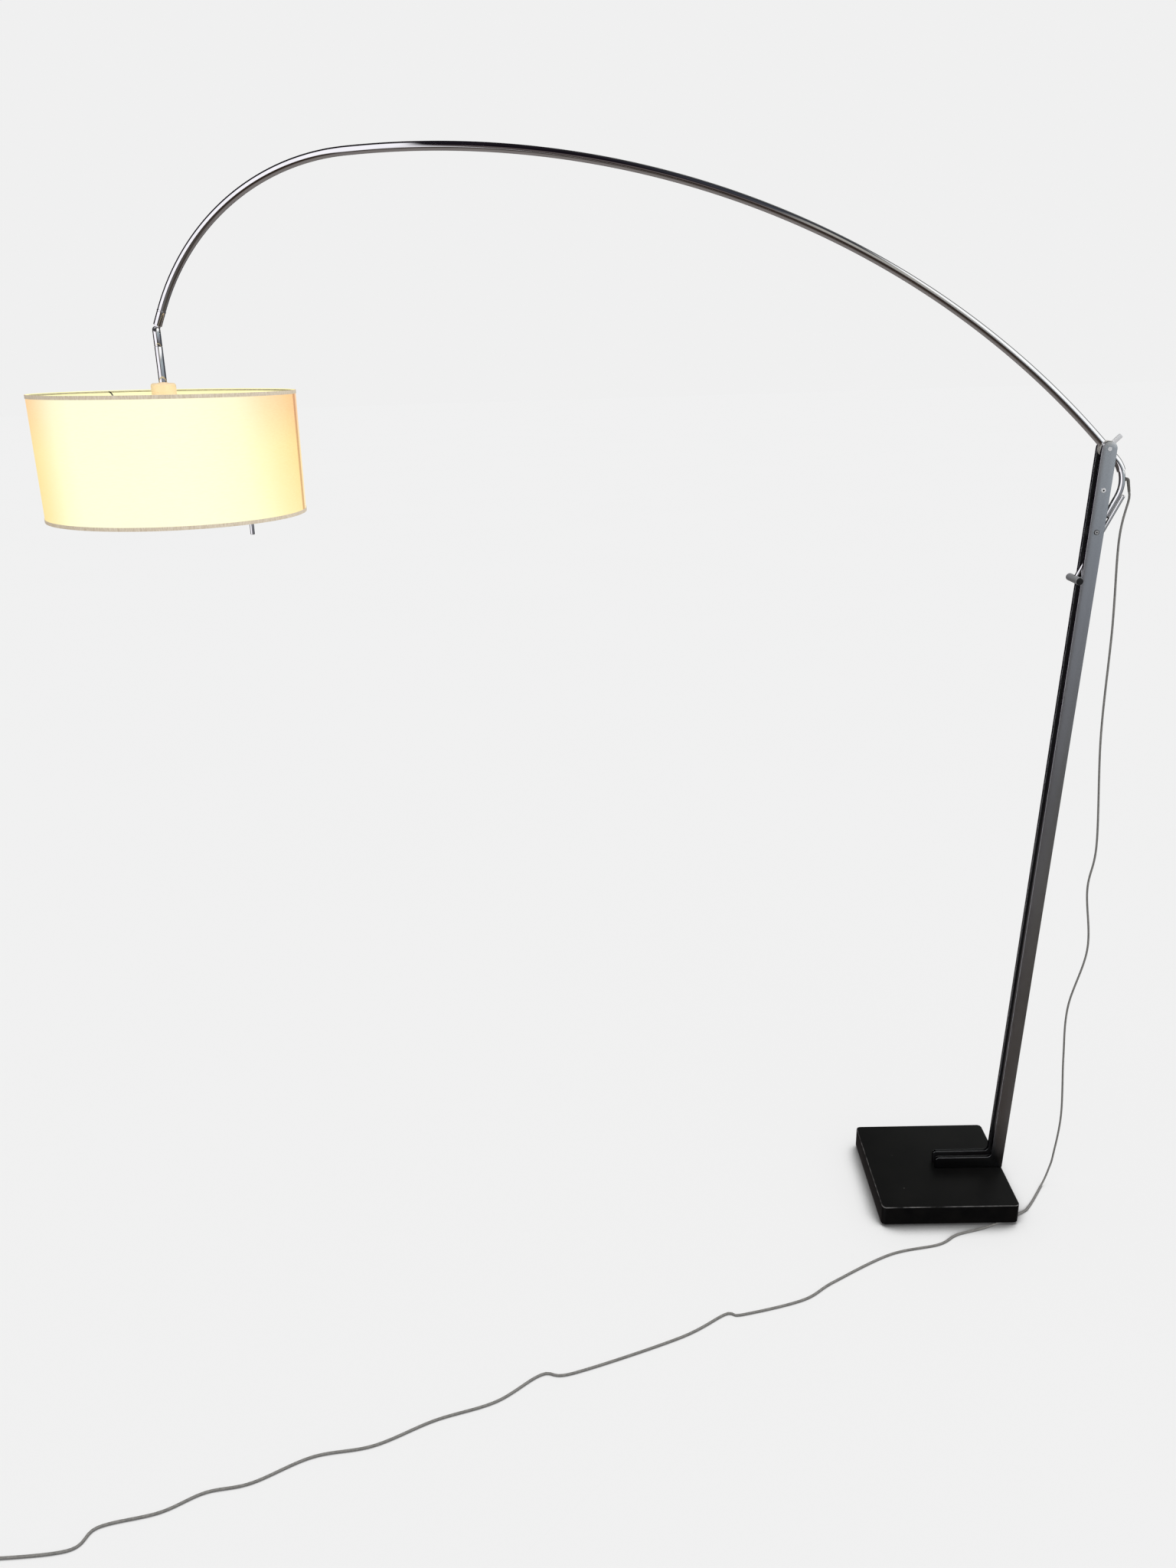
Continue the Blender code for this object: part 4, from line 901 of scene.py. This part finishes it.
def build_arm():
    tube_path = [PIVOT + ARM_DIRECTION * (HUB_RADIUS + GAP)] + SWEEP_POINTS[2:] + CROOK_POINTS[1:]
    piece("arc", tube(tube_path, TUBE_RADIUS, 48, TUBE_BORE), "chrome", "arm", ["arc_tube"])
    sleeve_path = [PIVOT + TAIL_DIRECTION * (HUB_RADIUS + GAP)] + TAIL_POINTS[:13]
    piece("tail_collar", tube(sleeve_path, TUBE_RADIUS, 48, TUBE_BORE), "chrome", "arm", ["tail_sleeve"])
    tail_path = [PIVOT + TAIL_DIRECTION * 23.8 * MM] + TAIL_POINTS + [TAIL_END]
    piece("tail", tube(tail_path, TAIL_RADIUS, 40, TAIL_BORE), "chrome", "arm", ["tail_tube"])
    piece("tail_stopper", lathe([
        (0, 4 * MM), (5.4 * MM, 3.2 * MM, 2 * MM), (TAIL_RADIUS, GAP, 0.4 * MM), (4 * MM, GAP),
        (4 * MM, -8 * MM), (0, -8 * MM),
    ], steps=40), "black_plastic", "arm", ["tail_plug"], axis_matrix(TAIL_END, LEG_DIRECTION))

    half = HUB_WIDTH / 2
    hub = lathe([
        (0, half), (HUB_RADIUS, half, 0.8 * MM), (HUB_RADIUS, -half, 0.8 * MM), (0, -half),
    ], steps=72)
    holes = []
    for side in (-1, 1):
        start = PIVOT + ACROSS * side * (half - 4.3 * MM)
        hole = rod(4.4 * MM, 10 * MM, 0)
        holes.append((hole, axis_matrix(start, ACROSS * side)))
    stud_hole = rod(2.8 * MM, 20 * MM, 0)
    holes.append((stud_hole, axis_matrix(PIVOT + STUD_DIRECTION * 8 * MM, STUD_DIRECTION)))
    hub.transform(axis_matrix(PIVOT, ACROSS))
    piece("hub", cut(hub, holes), "pale_metal", "arm", ["pivot_hub"], sharp=40)

    reach = (HANDLE - LEVER_TOP).length - 5 * MM
    piece("lever", lathe([
        (0, reach), (LEVER_RADIUS, reach), (LEVER_RADIUS, 0, 2.6 * MM), (0, 0),
    ], steps=40), "chrome", "arm", ["lever_rod"], axis_matrix(LEVER_TOP, LEG_DIRECTION))
    half = HANDLE_LENGTH / 2
    bar = collar(6 * MM, HANDLE_RADIUS, half, -half, 0.5 * MM, 56)
    bar.transform(axis_matrix(HANDLE, ACROSS))
    rod_hole = rod(4.3 * MM, 16 * MM, 0)
    bar = cut(bar, [(rod_hole, axis_matrix(HANDLE - LEG_DIRECTION * 18 * MM, LEG_DIRECTION))])
    piece("grip", bar, "grip_metal", "arm", ["cross_handle"], sharp=40)
    for name, side in (("near", -1), ("far", 1)):
        piece(f"grip_end_{name}", lathe([
            (0, 1.4 * MM), (6.9 * MM, 1.4 * MM, 0.9 * MM), (7.2 * MM, GAP, 0.2 * MM), (5.7 * MM, GAP),
            (5.7 * MM, -9 * MM), (0, -9 * MM),
        ], steps=44), "black_plastic", "arm", [f"handle_plug_{name}"],
            axis_matrix(HANDLE + ACROSS * side * half, ACROSS * side))

    piece("lock_screw", lathe([
        (0, 35.5 * MM), (4.8 * MM, 35.5 * MM, 1.3 * MM), (4.8 * MM, 16 * MM, 0.5 * MM),
        (2.4 * MM, 16 * MM), (2.4 * MM, 8.6 * MM), (0, 8.6 * MM),
    ], steps=44), "screw_painted_reflection", "lock", ["lock_stud"], axis_matrix(PIVOT, STUD_DIRECTION))


def build_hinge():
    matrix = axis_matrix(SHADE_HINGE, -SLEEVE_DIRECTION)
    barrel = lathe([
        (3.3 * MM, HINGE_SLEEVE + 8 * MM), (5.6 * MM, HINGE_SLEEVE + 8 * MM, 0.3 * MM),
        (5.6 * MM, HINGE_SLEEVE - 0.6 * MM), (8.5 * MM, HINGE_SLEEVE - 0.6 * MM, 0.3 * MM),
        (8.5 * MM, HINGE_SLEEVE - 3 * MM, 0.3 * MM), (8.1 * MM, HINGE_SLEEVE - 3.6 * MM, 0.1 * MM),
        (8.1 * MM, 8.6 * MM, 0.8 * MM), (3.3 * MM, 8.6 * MM),
    ], closed=True, steps=56)
    piece("hinge_barrel", barrel, "chrome", "arm", ["hinge_sleeve"], matrix, 30)
    rim = [Vector((5.4 * MM * math.cos(a), 5.4 * MM * math.sin(a)))
           for a in [math.pi + math.pi * k / 20 for k in range(21)]]
    outline = rim + [Vector((5.4 * MM, 12 * MM)), Vector((-5.4 * MM, 12 * MM))]
    tilt = math.atan2(-SLEEVE_DIRECTION.x, -SLEEVE_DIRECTION.z)
    upright = Matrix.Rotation(tilt, 4, "Y") @ Matrix.Rotation(math.radians(90), 4, "X")
    tongue = slab(outline, 6.2 * MM, 0.4 * MM, Matrix.Translation(SHADE_HINGE) @ upright, 2)
    piece("hinge_tongue", tongue, "chrome", "arm", ["hinge_sleeve"], sharp=40)


# ---------------------------------------------------------------- shade head

def head_matrix(depth=0.0, radius=0.0, azimuth=0.0):
    spot = Vector((radius * math.cos(azimuth), radius * math.sin(azimuth), -depth))
    return Matrix.Translation(SHADE_HINGE) @ Matrix.Rotation(HEAD_TILT, 4, "Y") @ Matrix.Translation(spot)


def downwards(profile, steps, closed=False):
    """A turned mesh from (radius, depth below the hinge, corner radius) entries."""
    return lathe([(radius, -depth, *corner) for radius, depth, *corner in profile], closed, steps)


def build_stem():
    hub = head_matrix()
    dome = []
    for k in range(9):
        angle = math.radians(90 - 11.25 * k)
        dome.append((STEM_RADIUS * math.cos(angle), -STEM_RADIUS * math.sin(angle)))
    fork = downwards(dome + [
        (STEM_RADIUS, 29.2 * MM), (STEM_RADIUS - 0.4 * MM, 30 * MM), (5.7 * MM, 30 * MM),
        (5.7 * MM, 44 * MM), (0, 44 * MM),
    ], 56)
    slot_corners = ((-0.02, -0.007), (0.02, -0.007), (0.02, 0.02), (-0.02, 0.02))
    across = Matrix.Rotation(math.radians(90), 4, "X")
    slot = slab([Vector(corner) for corner in slot_corners], 6.8 * MM, 0.01 * MM, across, 1)
    bore = rod(2.4 * MM, 0.02, -0.02, 28)
    fork = cut(fork, [(slot, Matrix.Identity(4)), (bore, across)])
    piece("fork", fork, "chrome", "head", ["hinge_fork"], hub, 40)
    near_face = SHADE_HINGE - ACROSS * (STEM_RADIUS + 0.4 * MM)
    piece("fork_screw", screw_mesh(3.2 * MM, 1.2 * MM, 2 * MM, 16.8 * MM, 0.4), "dark_steel", "head",
          ["hinge_screw"], axis_matrix(near_face, -ACROSS))
    piece("fork_nut", collar(2.3 * MM, 3.4 * MM, 1.6 * MM, 0, 0.2 * MM, 6), "dark_steel", "head",
          ["hinge_nut"], axis_matrix(SHADE_HINGE + ACROSS * (STEM_RADIUS + 0.4 * MM), ACROSS), 20)
    piece("stem", downwards([
        (6 * MM, 30.3 * MM), (STEM_RADIUS, 30.3 * MM, 0.3 * MM), (STEM_RADIUS, CAP_TOP - GAP, 0.2 * MM),
        (6 * MM, CAP_TOP - GAP),
    ], 56, True), "chrome", "head", ["stem_tube"], hub)


def build_socket():
    hub = head_matrix()
    rim = SPIDER_LEVEL - 2 * MM
    piece("cap", downwards([
        (7.7 * MM, CAP_TOP - 0.1 * MM), (9.5 * MM, CAP_TOP - 0.1 * MM, 0.2 * MM),
        (10 * MM, CAP_TOP + 0.6 * MM, 0.3 * MM), (CAP_RADIUS, CAP_TOP + 0.9 * MM, 5 * MM),
        (CAP_RADIUS, CAP_TOP + 17 * MM, 0.2 * MM),
        (CAP_RADIUS - 0.5 * MM, CAP_TOP + 17.4 * MM, 0.2 * MM),
        (CAP_RADIUS - 0.5 * MM, CAP_TOP + 18.2 * MM, 0.2 * MM),
        (CAP_RADIUS, CAP_TOP + 18.6 * MM, 0.2 * MM), (CAP_RADIUS, rim, 0.4 * MM),
        (CAP_RADIUS - 2 * MM, rim, 0.4 * MM), (CAP_RADIUS - 2 * MM, CAP_TOP + 3 * MM, 3 * MM),
        (7.7 * MM, CAP_TOP + 3 * MM),
    ], 72, True), "cream_plastic", "head", ["socket_cap"], hub)
    body_end = CAP_TOP + 56 * MM
    piece("lampholder", downwards([
        (0, CAP_TOP + 6 * MM), (19.5 * MM, CAP_TOP + 6 * MM, 1 * MM), (19.5 * MM, body_end, 0.8 * MM),
        (14 * MM, body_end, 0.5 * MM), (14 * MM, body_end - 30 * MM), (0, body_end - 30 * MM),
    ], 56), "cream_plastic", "head", ["socket_body"], hub)
    piece("spider_hub", downwards([
        (20 * MM, SPIDER_LEVEL - 1.5 * MM, 0.3 * MM), (27 * MM, SPIDER_LEVEL - 1.5 * MM, 0.5 * MM),
        (27 * MM, SPIDER_LEVEL + 1.5 * MM, 0.5 * MM), (20 * MM, SPIDER_LEVEL + 1.5 * MM, 0.3 * MM),
    ], 64, True), "satin_steel", "head", ["spider_ring"], hub)
    nut_top = SPIDER_LEVEL + 1.8 * MM
    ribbed = downwards([
        (20 * MM, nut_top, 0.3 * MM), (24 * MM, nut_top, 0.6 * MM),
        (24 * MM, nut_top + 6 * MM, 0.6 * MM), (20 * MM, nut_top + 6 * MM, 0.3 * MM),
    ], 96, True)
    for vertex in ribbed.vertices:
        reach = math.hypot(vertex.co.x, vertex.co.y)
        if reach > 23.2 * MM:
            dip = 1 - 0.012 * (1 + math.cos(24 * math.atan2(vertex.co.y, vertex.co.x)))
            vertex.co.x *= dip
            vertex.co.y *= dip
    piece("shade_ring_nut", ribbed, "cream_plastic", "head", ["shade_nut"], hub)

    cap_start = body_end - 27 * MM
    neck = body_end + 2 * MM + GAP
    thread = []
    for k in range(9):
        thread.append((13 * MM if k % 2 else 12.5 * MM, cap_start + (6 + 2.7 * k) * MM, 0.5 * MM))
    piece("bulb_base", downwards([(0, cap_start), (4 * MM, cap_start, 0.5 * MM)] + thread + [
        (12.8 * MM, body_end + 2 * MM, 0.3 * MM),
        (0, body_end + 2 * MM),
    ], 48), "satin_steel", "head", ["bulb_cap"], hub)
    centre = neck + 56 * MM
    bulb = [(0, neck), (12.3 * MM, neck, 0.3 * MM), (13.4 * MM, neck + 9 * MM, 4 * MM)]
    for k in range(15):
        angle = math.radians(-40 + 130 * k / 14)
        bulb.append((BULB_RADIUS * math.cos(angle), centre + BULB_RADIUS * math.sin(angle)))
    bulb[-1] = (0, centre + BULB_RADIUS)
    piece("bulb", downwards(bulb, 64), "bulb_glass", "head", ["bulb_glass"], hub)


def build_shade():
    hub = head_matrix()
    end = SHADE_TOP + SHADE_HEIGHT
    lap = 0.010 / SHADE_RADIUS
    steps = 180
    levels = 18
    work = bmesh.new()
    rings = []
    for inner in (False, True):
        for row in range(levels + 1):
            share = row / levels
            if inner:
                share = 1 - share
            depth = SHADE_TOP + SHADE_HEIGHT * share
            ring = []
            for k in range(steps):
                angle = SEAM + math.tau * k / steps
                turned = (angle - SEAM) % math.tau
                proud = 0.45 * MM if turned < lap * 1.02 and not inner else 0.0
                radius = SHADE_RADIUS - (FABRIC if inner else 0) + proud
                ring.append(work.verts.new((radius * math.cos(angle), radius * math.sin(angle), -depth)))
            rings.append(ring)
    for first, second in zip(rings, rings[1:] + rings[:1]):
        for k in range(steps):
            n = (k + 1) % steps
            work.faces.new((first[k], second[k], second[n], first[n]))
    bmesh.ops.recalc_face_normals(work, faces=work.faces)
    mesh = finished(work, "cloth")
    inside_limit = SHADE_RADIUS - FABRIC * 0.7
    drum = piece("shade", mesh, "shade_fabric", "head", ["shade_fabric"], hub, 30, ("shade_lining",),
                 lambda face: math.hypot(face.center.x, face.center.y) < inside_limit)
    drum.visible_glossy = False

    ring_radius = SHADE_RADIUS - FABRIC - GAP - 1.6 * MM
    for name, level in (("top", SHADE_TOP + 3 * MM), ("bottom", end - 3 * MM)):
        section = []
        for k in range(12):
            angle = -math.tau * k / 12
            section.append((ring_radius + 1.6 * MM * math.cos(angle), level - 1.6 * MM * math.sin(angle)))
        piece(f"wire_{name}", downwards(section, 144, True), "ring_metal", "head",
              [f"{name}_ring"], hub, 60)
    inner = SHADE_RADIUS + GAP
    for name, level in (("top", SHADE_TOP), ("bottom", end - TRIM_HEIGHT)):
        piece(f"tape_{name}", downwards([
            (inner, level, 0.1 * MM), (inner + 0.6 * MM, level, 0.25 * MM),
            (inner + 0.6 * MM, level + TRIM_HEIGHT, 0.25 * MM), (inner, level + TRIM_HEIGHT, 0.1 * MM),
        ], 180, True), "shade_trim", "head", [f"{name}_trim"], hub, 60)

    inside = ring_radius - 1.9 * MM
    rise = SPIDER_LEVEL - SHADE_TOP - 3 * MM
    for number, degrees in enumerate(ARM_AZIMUTHS, 1):
        azimuth = math.radians(degrees)
        spots = [(27.3 * MM, 0), (inside - 60 * MM, 0), (inside - 30 * MM, 0),
                 (inside - 20 * MM, rise * 0.15), (inside - 10 * MM, rise * 0.8), (inside - 1 * MM, rise)]
        route = [head_matrix(SPIDER_LEVEL - lift, out, azimuth).translation for out, lift in spots]
        piece(f"spoke_{number}", tube(smooth_route(route, 0.003), 1.5 * MM, 14), "satin_steel", "head",
              [f"spider_arm_{number}"])


def build_pull_switch():
    spot = head_matrix(0, SWITCH_RADIUS, math.radians(ARM_AZIMUTHS[0]))
    top = SPIDER_LEVEL + 1.8 * MM
    box_end = top + 20 * MM
    piece("pull_box", downwards([
        (0, top), (10 * MM, top, 2 * MM), (10 * MM, box_end, 1.5 * MM), (3 * MM, box_end, 0.3 * MM),
        (3 * MM, box_end - 14 * MM), (0, box_end - 14 * MM),
    ], 48), "cream_plastic", "head", ["switch_box"], spot)
    piece("pull_wire", downwards([
        (0, box_end - 6 * MM), (1.5 * MM, box_end - 6 * MM, 0.2 * MM), (1.5 * MM, KNOB_TOP - GAP, 0.2 * MM),
        (0, KNOB_TOP - GAP),
    ], 20), "satin_steel", "pull", ["pull_rod"], spot)
    piece("pull_grip", downwards([
        (0, KNOB_TOP), (4.3 * MM, KNOB_TOP, 1 * MM), (4.3 * MM, KNOB_END, 1 * MM), (0, KNOB_END),
    ], 40), "chrome", "pull", ["pull_knob"], spot)


# ---------------------------------------------------------------- hidden CAD nodes, stage and light

def finish_kept_nodes():
    """The pad, bolts and inner lead stay as they are, with the finished materials."""
    looks = {"base_pad": "rubber", "inner_wire": "cord_grey"}
    for number in range(1, 5):
        looks[f"foot_bolt_{number}"] = "dark_steel"
    for node, look in looks.items():
        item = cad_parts[node]
        for entry in item.material_slots:
            entry.material = MATERIALS[look]


def build_stage():
    """A plain pale floor that darkens only close under the things that stand or lie on it."""
    floor_mesh = bpy.data.meshes.new("floor")
    corners = [(x * FLOOR_REACH, y * FLOOR_REACH, 0) for x, y in ((-1, -1), (1, -1), (1, 1), (-1, 1))]
    floor_mesh.from_pydata(corners, [], [(0, 1, 2, 3)])
    floor, tree, shader = new_material("floor_paint")
    closeness = tree.nodes.new("ShaderNodeAmbientOcclusion")
    dress(closeness, Distance=0.07)
    closeness.samples = 16
    contact_shadow = ramp(tree, closeness.outputs["AO"],
                          [(0.50, 0.04), (0.60, 0.25), (0.70, 0.70), (0.78, 0.95), (0.87, 1)])
    dress(shader, Base_Color=two_tone(tree, noise(tree, 0.6), 0.298, 0.302), Roughness=1.0,
          Specular_IOR_Level=0.0, Emission_Color=contact_shadow, Emission_Strength=FLOOR_GLOW)
    floor_mesh.materials.append(floor)
    item = in_scene("floor", floor_mesh)
    item.location.z = -0.2 * MM
    item.visible_glossy = False
    item.visible_diffuse = False


def build_light():
    """A pale studio. Glossy surfaces see a darker room with soft boxes at its left and right."""
    world = bpy.data.worlds.new("studio")
    bpy.context.scene.world = world
    world.use_nodes = True
    world.cycles.sampling_method = "NONE"
    tree = world.node_tree
    tree.nodes.clear()
    place = tree.nodes.new("ShaderNodeTexCoord")

    def along(axis):
        made = tree.nodes.new("ShaderNodeVectorMath")
        made.operation = "DOT_PRODUCT"
        made.inputs[1].default_value = axis
        tree.links.new(place.outputs["Generated"], made.inputs[0])
        return made.outputs["Value"]

    def reach(axis, low, high, falling=False):
        """Rises softly from 0 at low to 1 at high along an axis, or falls from 1 to 0."""
        made = tree.nodes.new("ShaderNodeMapRange")
        made.interpolation_type = "SMOOTHSTEP"
        dress(made, Value=along(axis), From_Min=low, From_Max=high,
              To_Min=float(falling), To_Max=float(not falling))
        return made.outputs["Result"]

    def box_shape(*limits):
        result = limits[0]
        for limit in limits[1:]:
            made = tree.nodes.new("ShaderNodeMath")
            made.operation = "MULTIPLY"
            tree.links.new(result, made.inputs[0])
            tree.links.new(limit, made.inputs[1])
            result = made.outputs["Value"]
        return result

    def mix(factor, first, second):
        made = tree.nodes.new("ShaderNodeMix")
        made.data_type = "RGBA"
        ends = [(*end, 1) if isinstance(end, tuple) else end for end in (first, second)]
        dress(made, Factor=factor, A=ends[0], B=ends[1])
        return made.outputs["Result"]

    across, away, upwards = (1, 0, 0), (0, 1, 0), (0, 0, 1)
    level = rescaled(tree, along(upwards), From_Min=-1)
    ground, brown, dark = (0.21, 0.19, 0.185), (0.034, 0.022, 0.014), (0.006, 0.004, 0.007)
    left = ramp(tree, level, [(0.03, ground), (0.10, (0.09, 0.08, 0.075)), (0.17, brown),
                              (0.33, (0.02, 0.012, 0.008)), (0.42, (0.09, 0.075, 0.075)),
                              (0.50, (0.13, 0.11, 0.11)), (0.60, (0.03, 0.022, 0.028)),
                              (0.68, dark), (1.0, (0.012, 0.010, 0.014))])
    right = ramp(tree, level, [(0.08, ground), (0.17, (0.045, 0.036, 0.032)), (0.25, (0.078, 0.068, 0.058)),
                               (0.33, (0.125, 0.122, 0.120)), (0.40, (0.24, 0.245, 0.28)),
                               (0.455, (0.32, 0.36, 0.40)), (0.50, (0.40, 0.45, 0.48)),
                               (0.62, (0.10, 0.11, 0.13)), (1.0, (0.02, 0.02, 0.03))])
    behind = ramp(tree, level, [(0.24, ground), (0.36, dark), (1.0, dark)])
    behind_right = ramp(tree, level, [(0.15, ground), (0.35, (0.05, 0.05, 0.06)),
                                      (0.5, (0.06, 0.065, 0.08)), (0.69, (0.20, 0.21, 0.20)), (1.0, 0.06)])
    near_side = mix(reach(across, 0.08, 0.36), left, right)
    far_side = mix(reach(across, -0.05, 0.30), behind, behind_right)
    gloss = mix(reach(away, -0.05, 0.25), near_side, far_side)
    left_box = box_shape(reach(across, -0.15, -0.12, True), reach(upwards, -0.60, -0.52),
                         reach(away, -0.35, -0.15, True))
    right_glow = box_shape(reach((1, 0, -0.45), 0.06, 0.14), reach(away, -0.66, -0.50, True),
                           reach(upwards, 0.0, 0.08))
    right_box = box_shape(reach((1, 0, -0.2), 0.40, 0.48), reach(away, 0.0, 0.4, True),
                          reach(upwards, 0.02, 0.10))
    gloss = mix(left_box, gloss, (1.1, 1.08, 1.15))
    gloss = mix(right_glow, gloss, (0.42, 0.41, 0.38))
    gloss = mix(right_box, gloss, (1.12, 1.13, 1.15))

    side = mix(reach(across, -1.0, 0.1), (0.05, 0.05, 0.05), (0.62, 0.62, 0.63))
    soft = mix(reach(upwards, 0.1, 0.9), side, (1.0, 1.0, 1.0))
    paths = tree.nodes.new("ShaderNodeLightPath")
    other = mix(paths.outputs["Is Glossy Ray"], soft, gloss)
    shown = mix(paths.outputs["Is Camera Ray"], other, BACKDROP)
    background = tree.nodes.new("ShaderNodeBackground")
    output = tree.nodes.new("ShaderNodeOutputWorld")
    dress(background, Color=shown)
    dress(output, Surface=background.outputs["Background"])
    bpy.context.scene.view_settings.view_transform = "Standard"


build_camera()
build_cord()
build_base()
build_uprights()
build_stand_hardware()
build_arm()
build_hinge()
build_stem()
build_socket()
build_shade()
build_pull_switch()
finish_kept_nodes()
build_stage()
build_light()
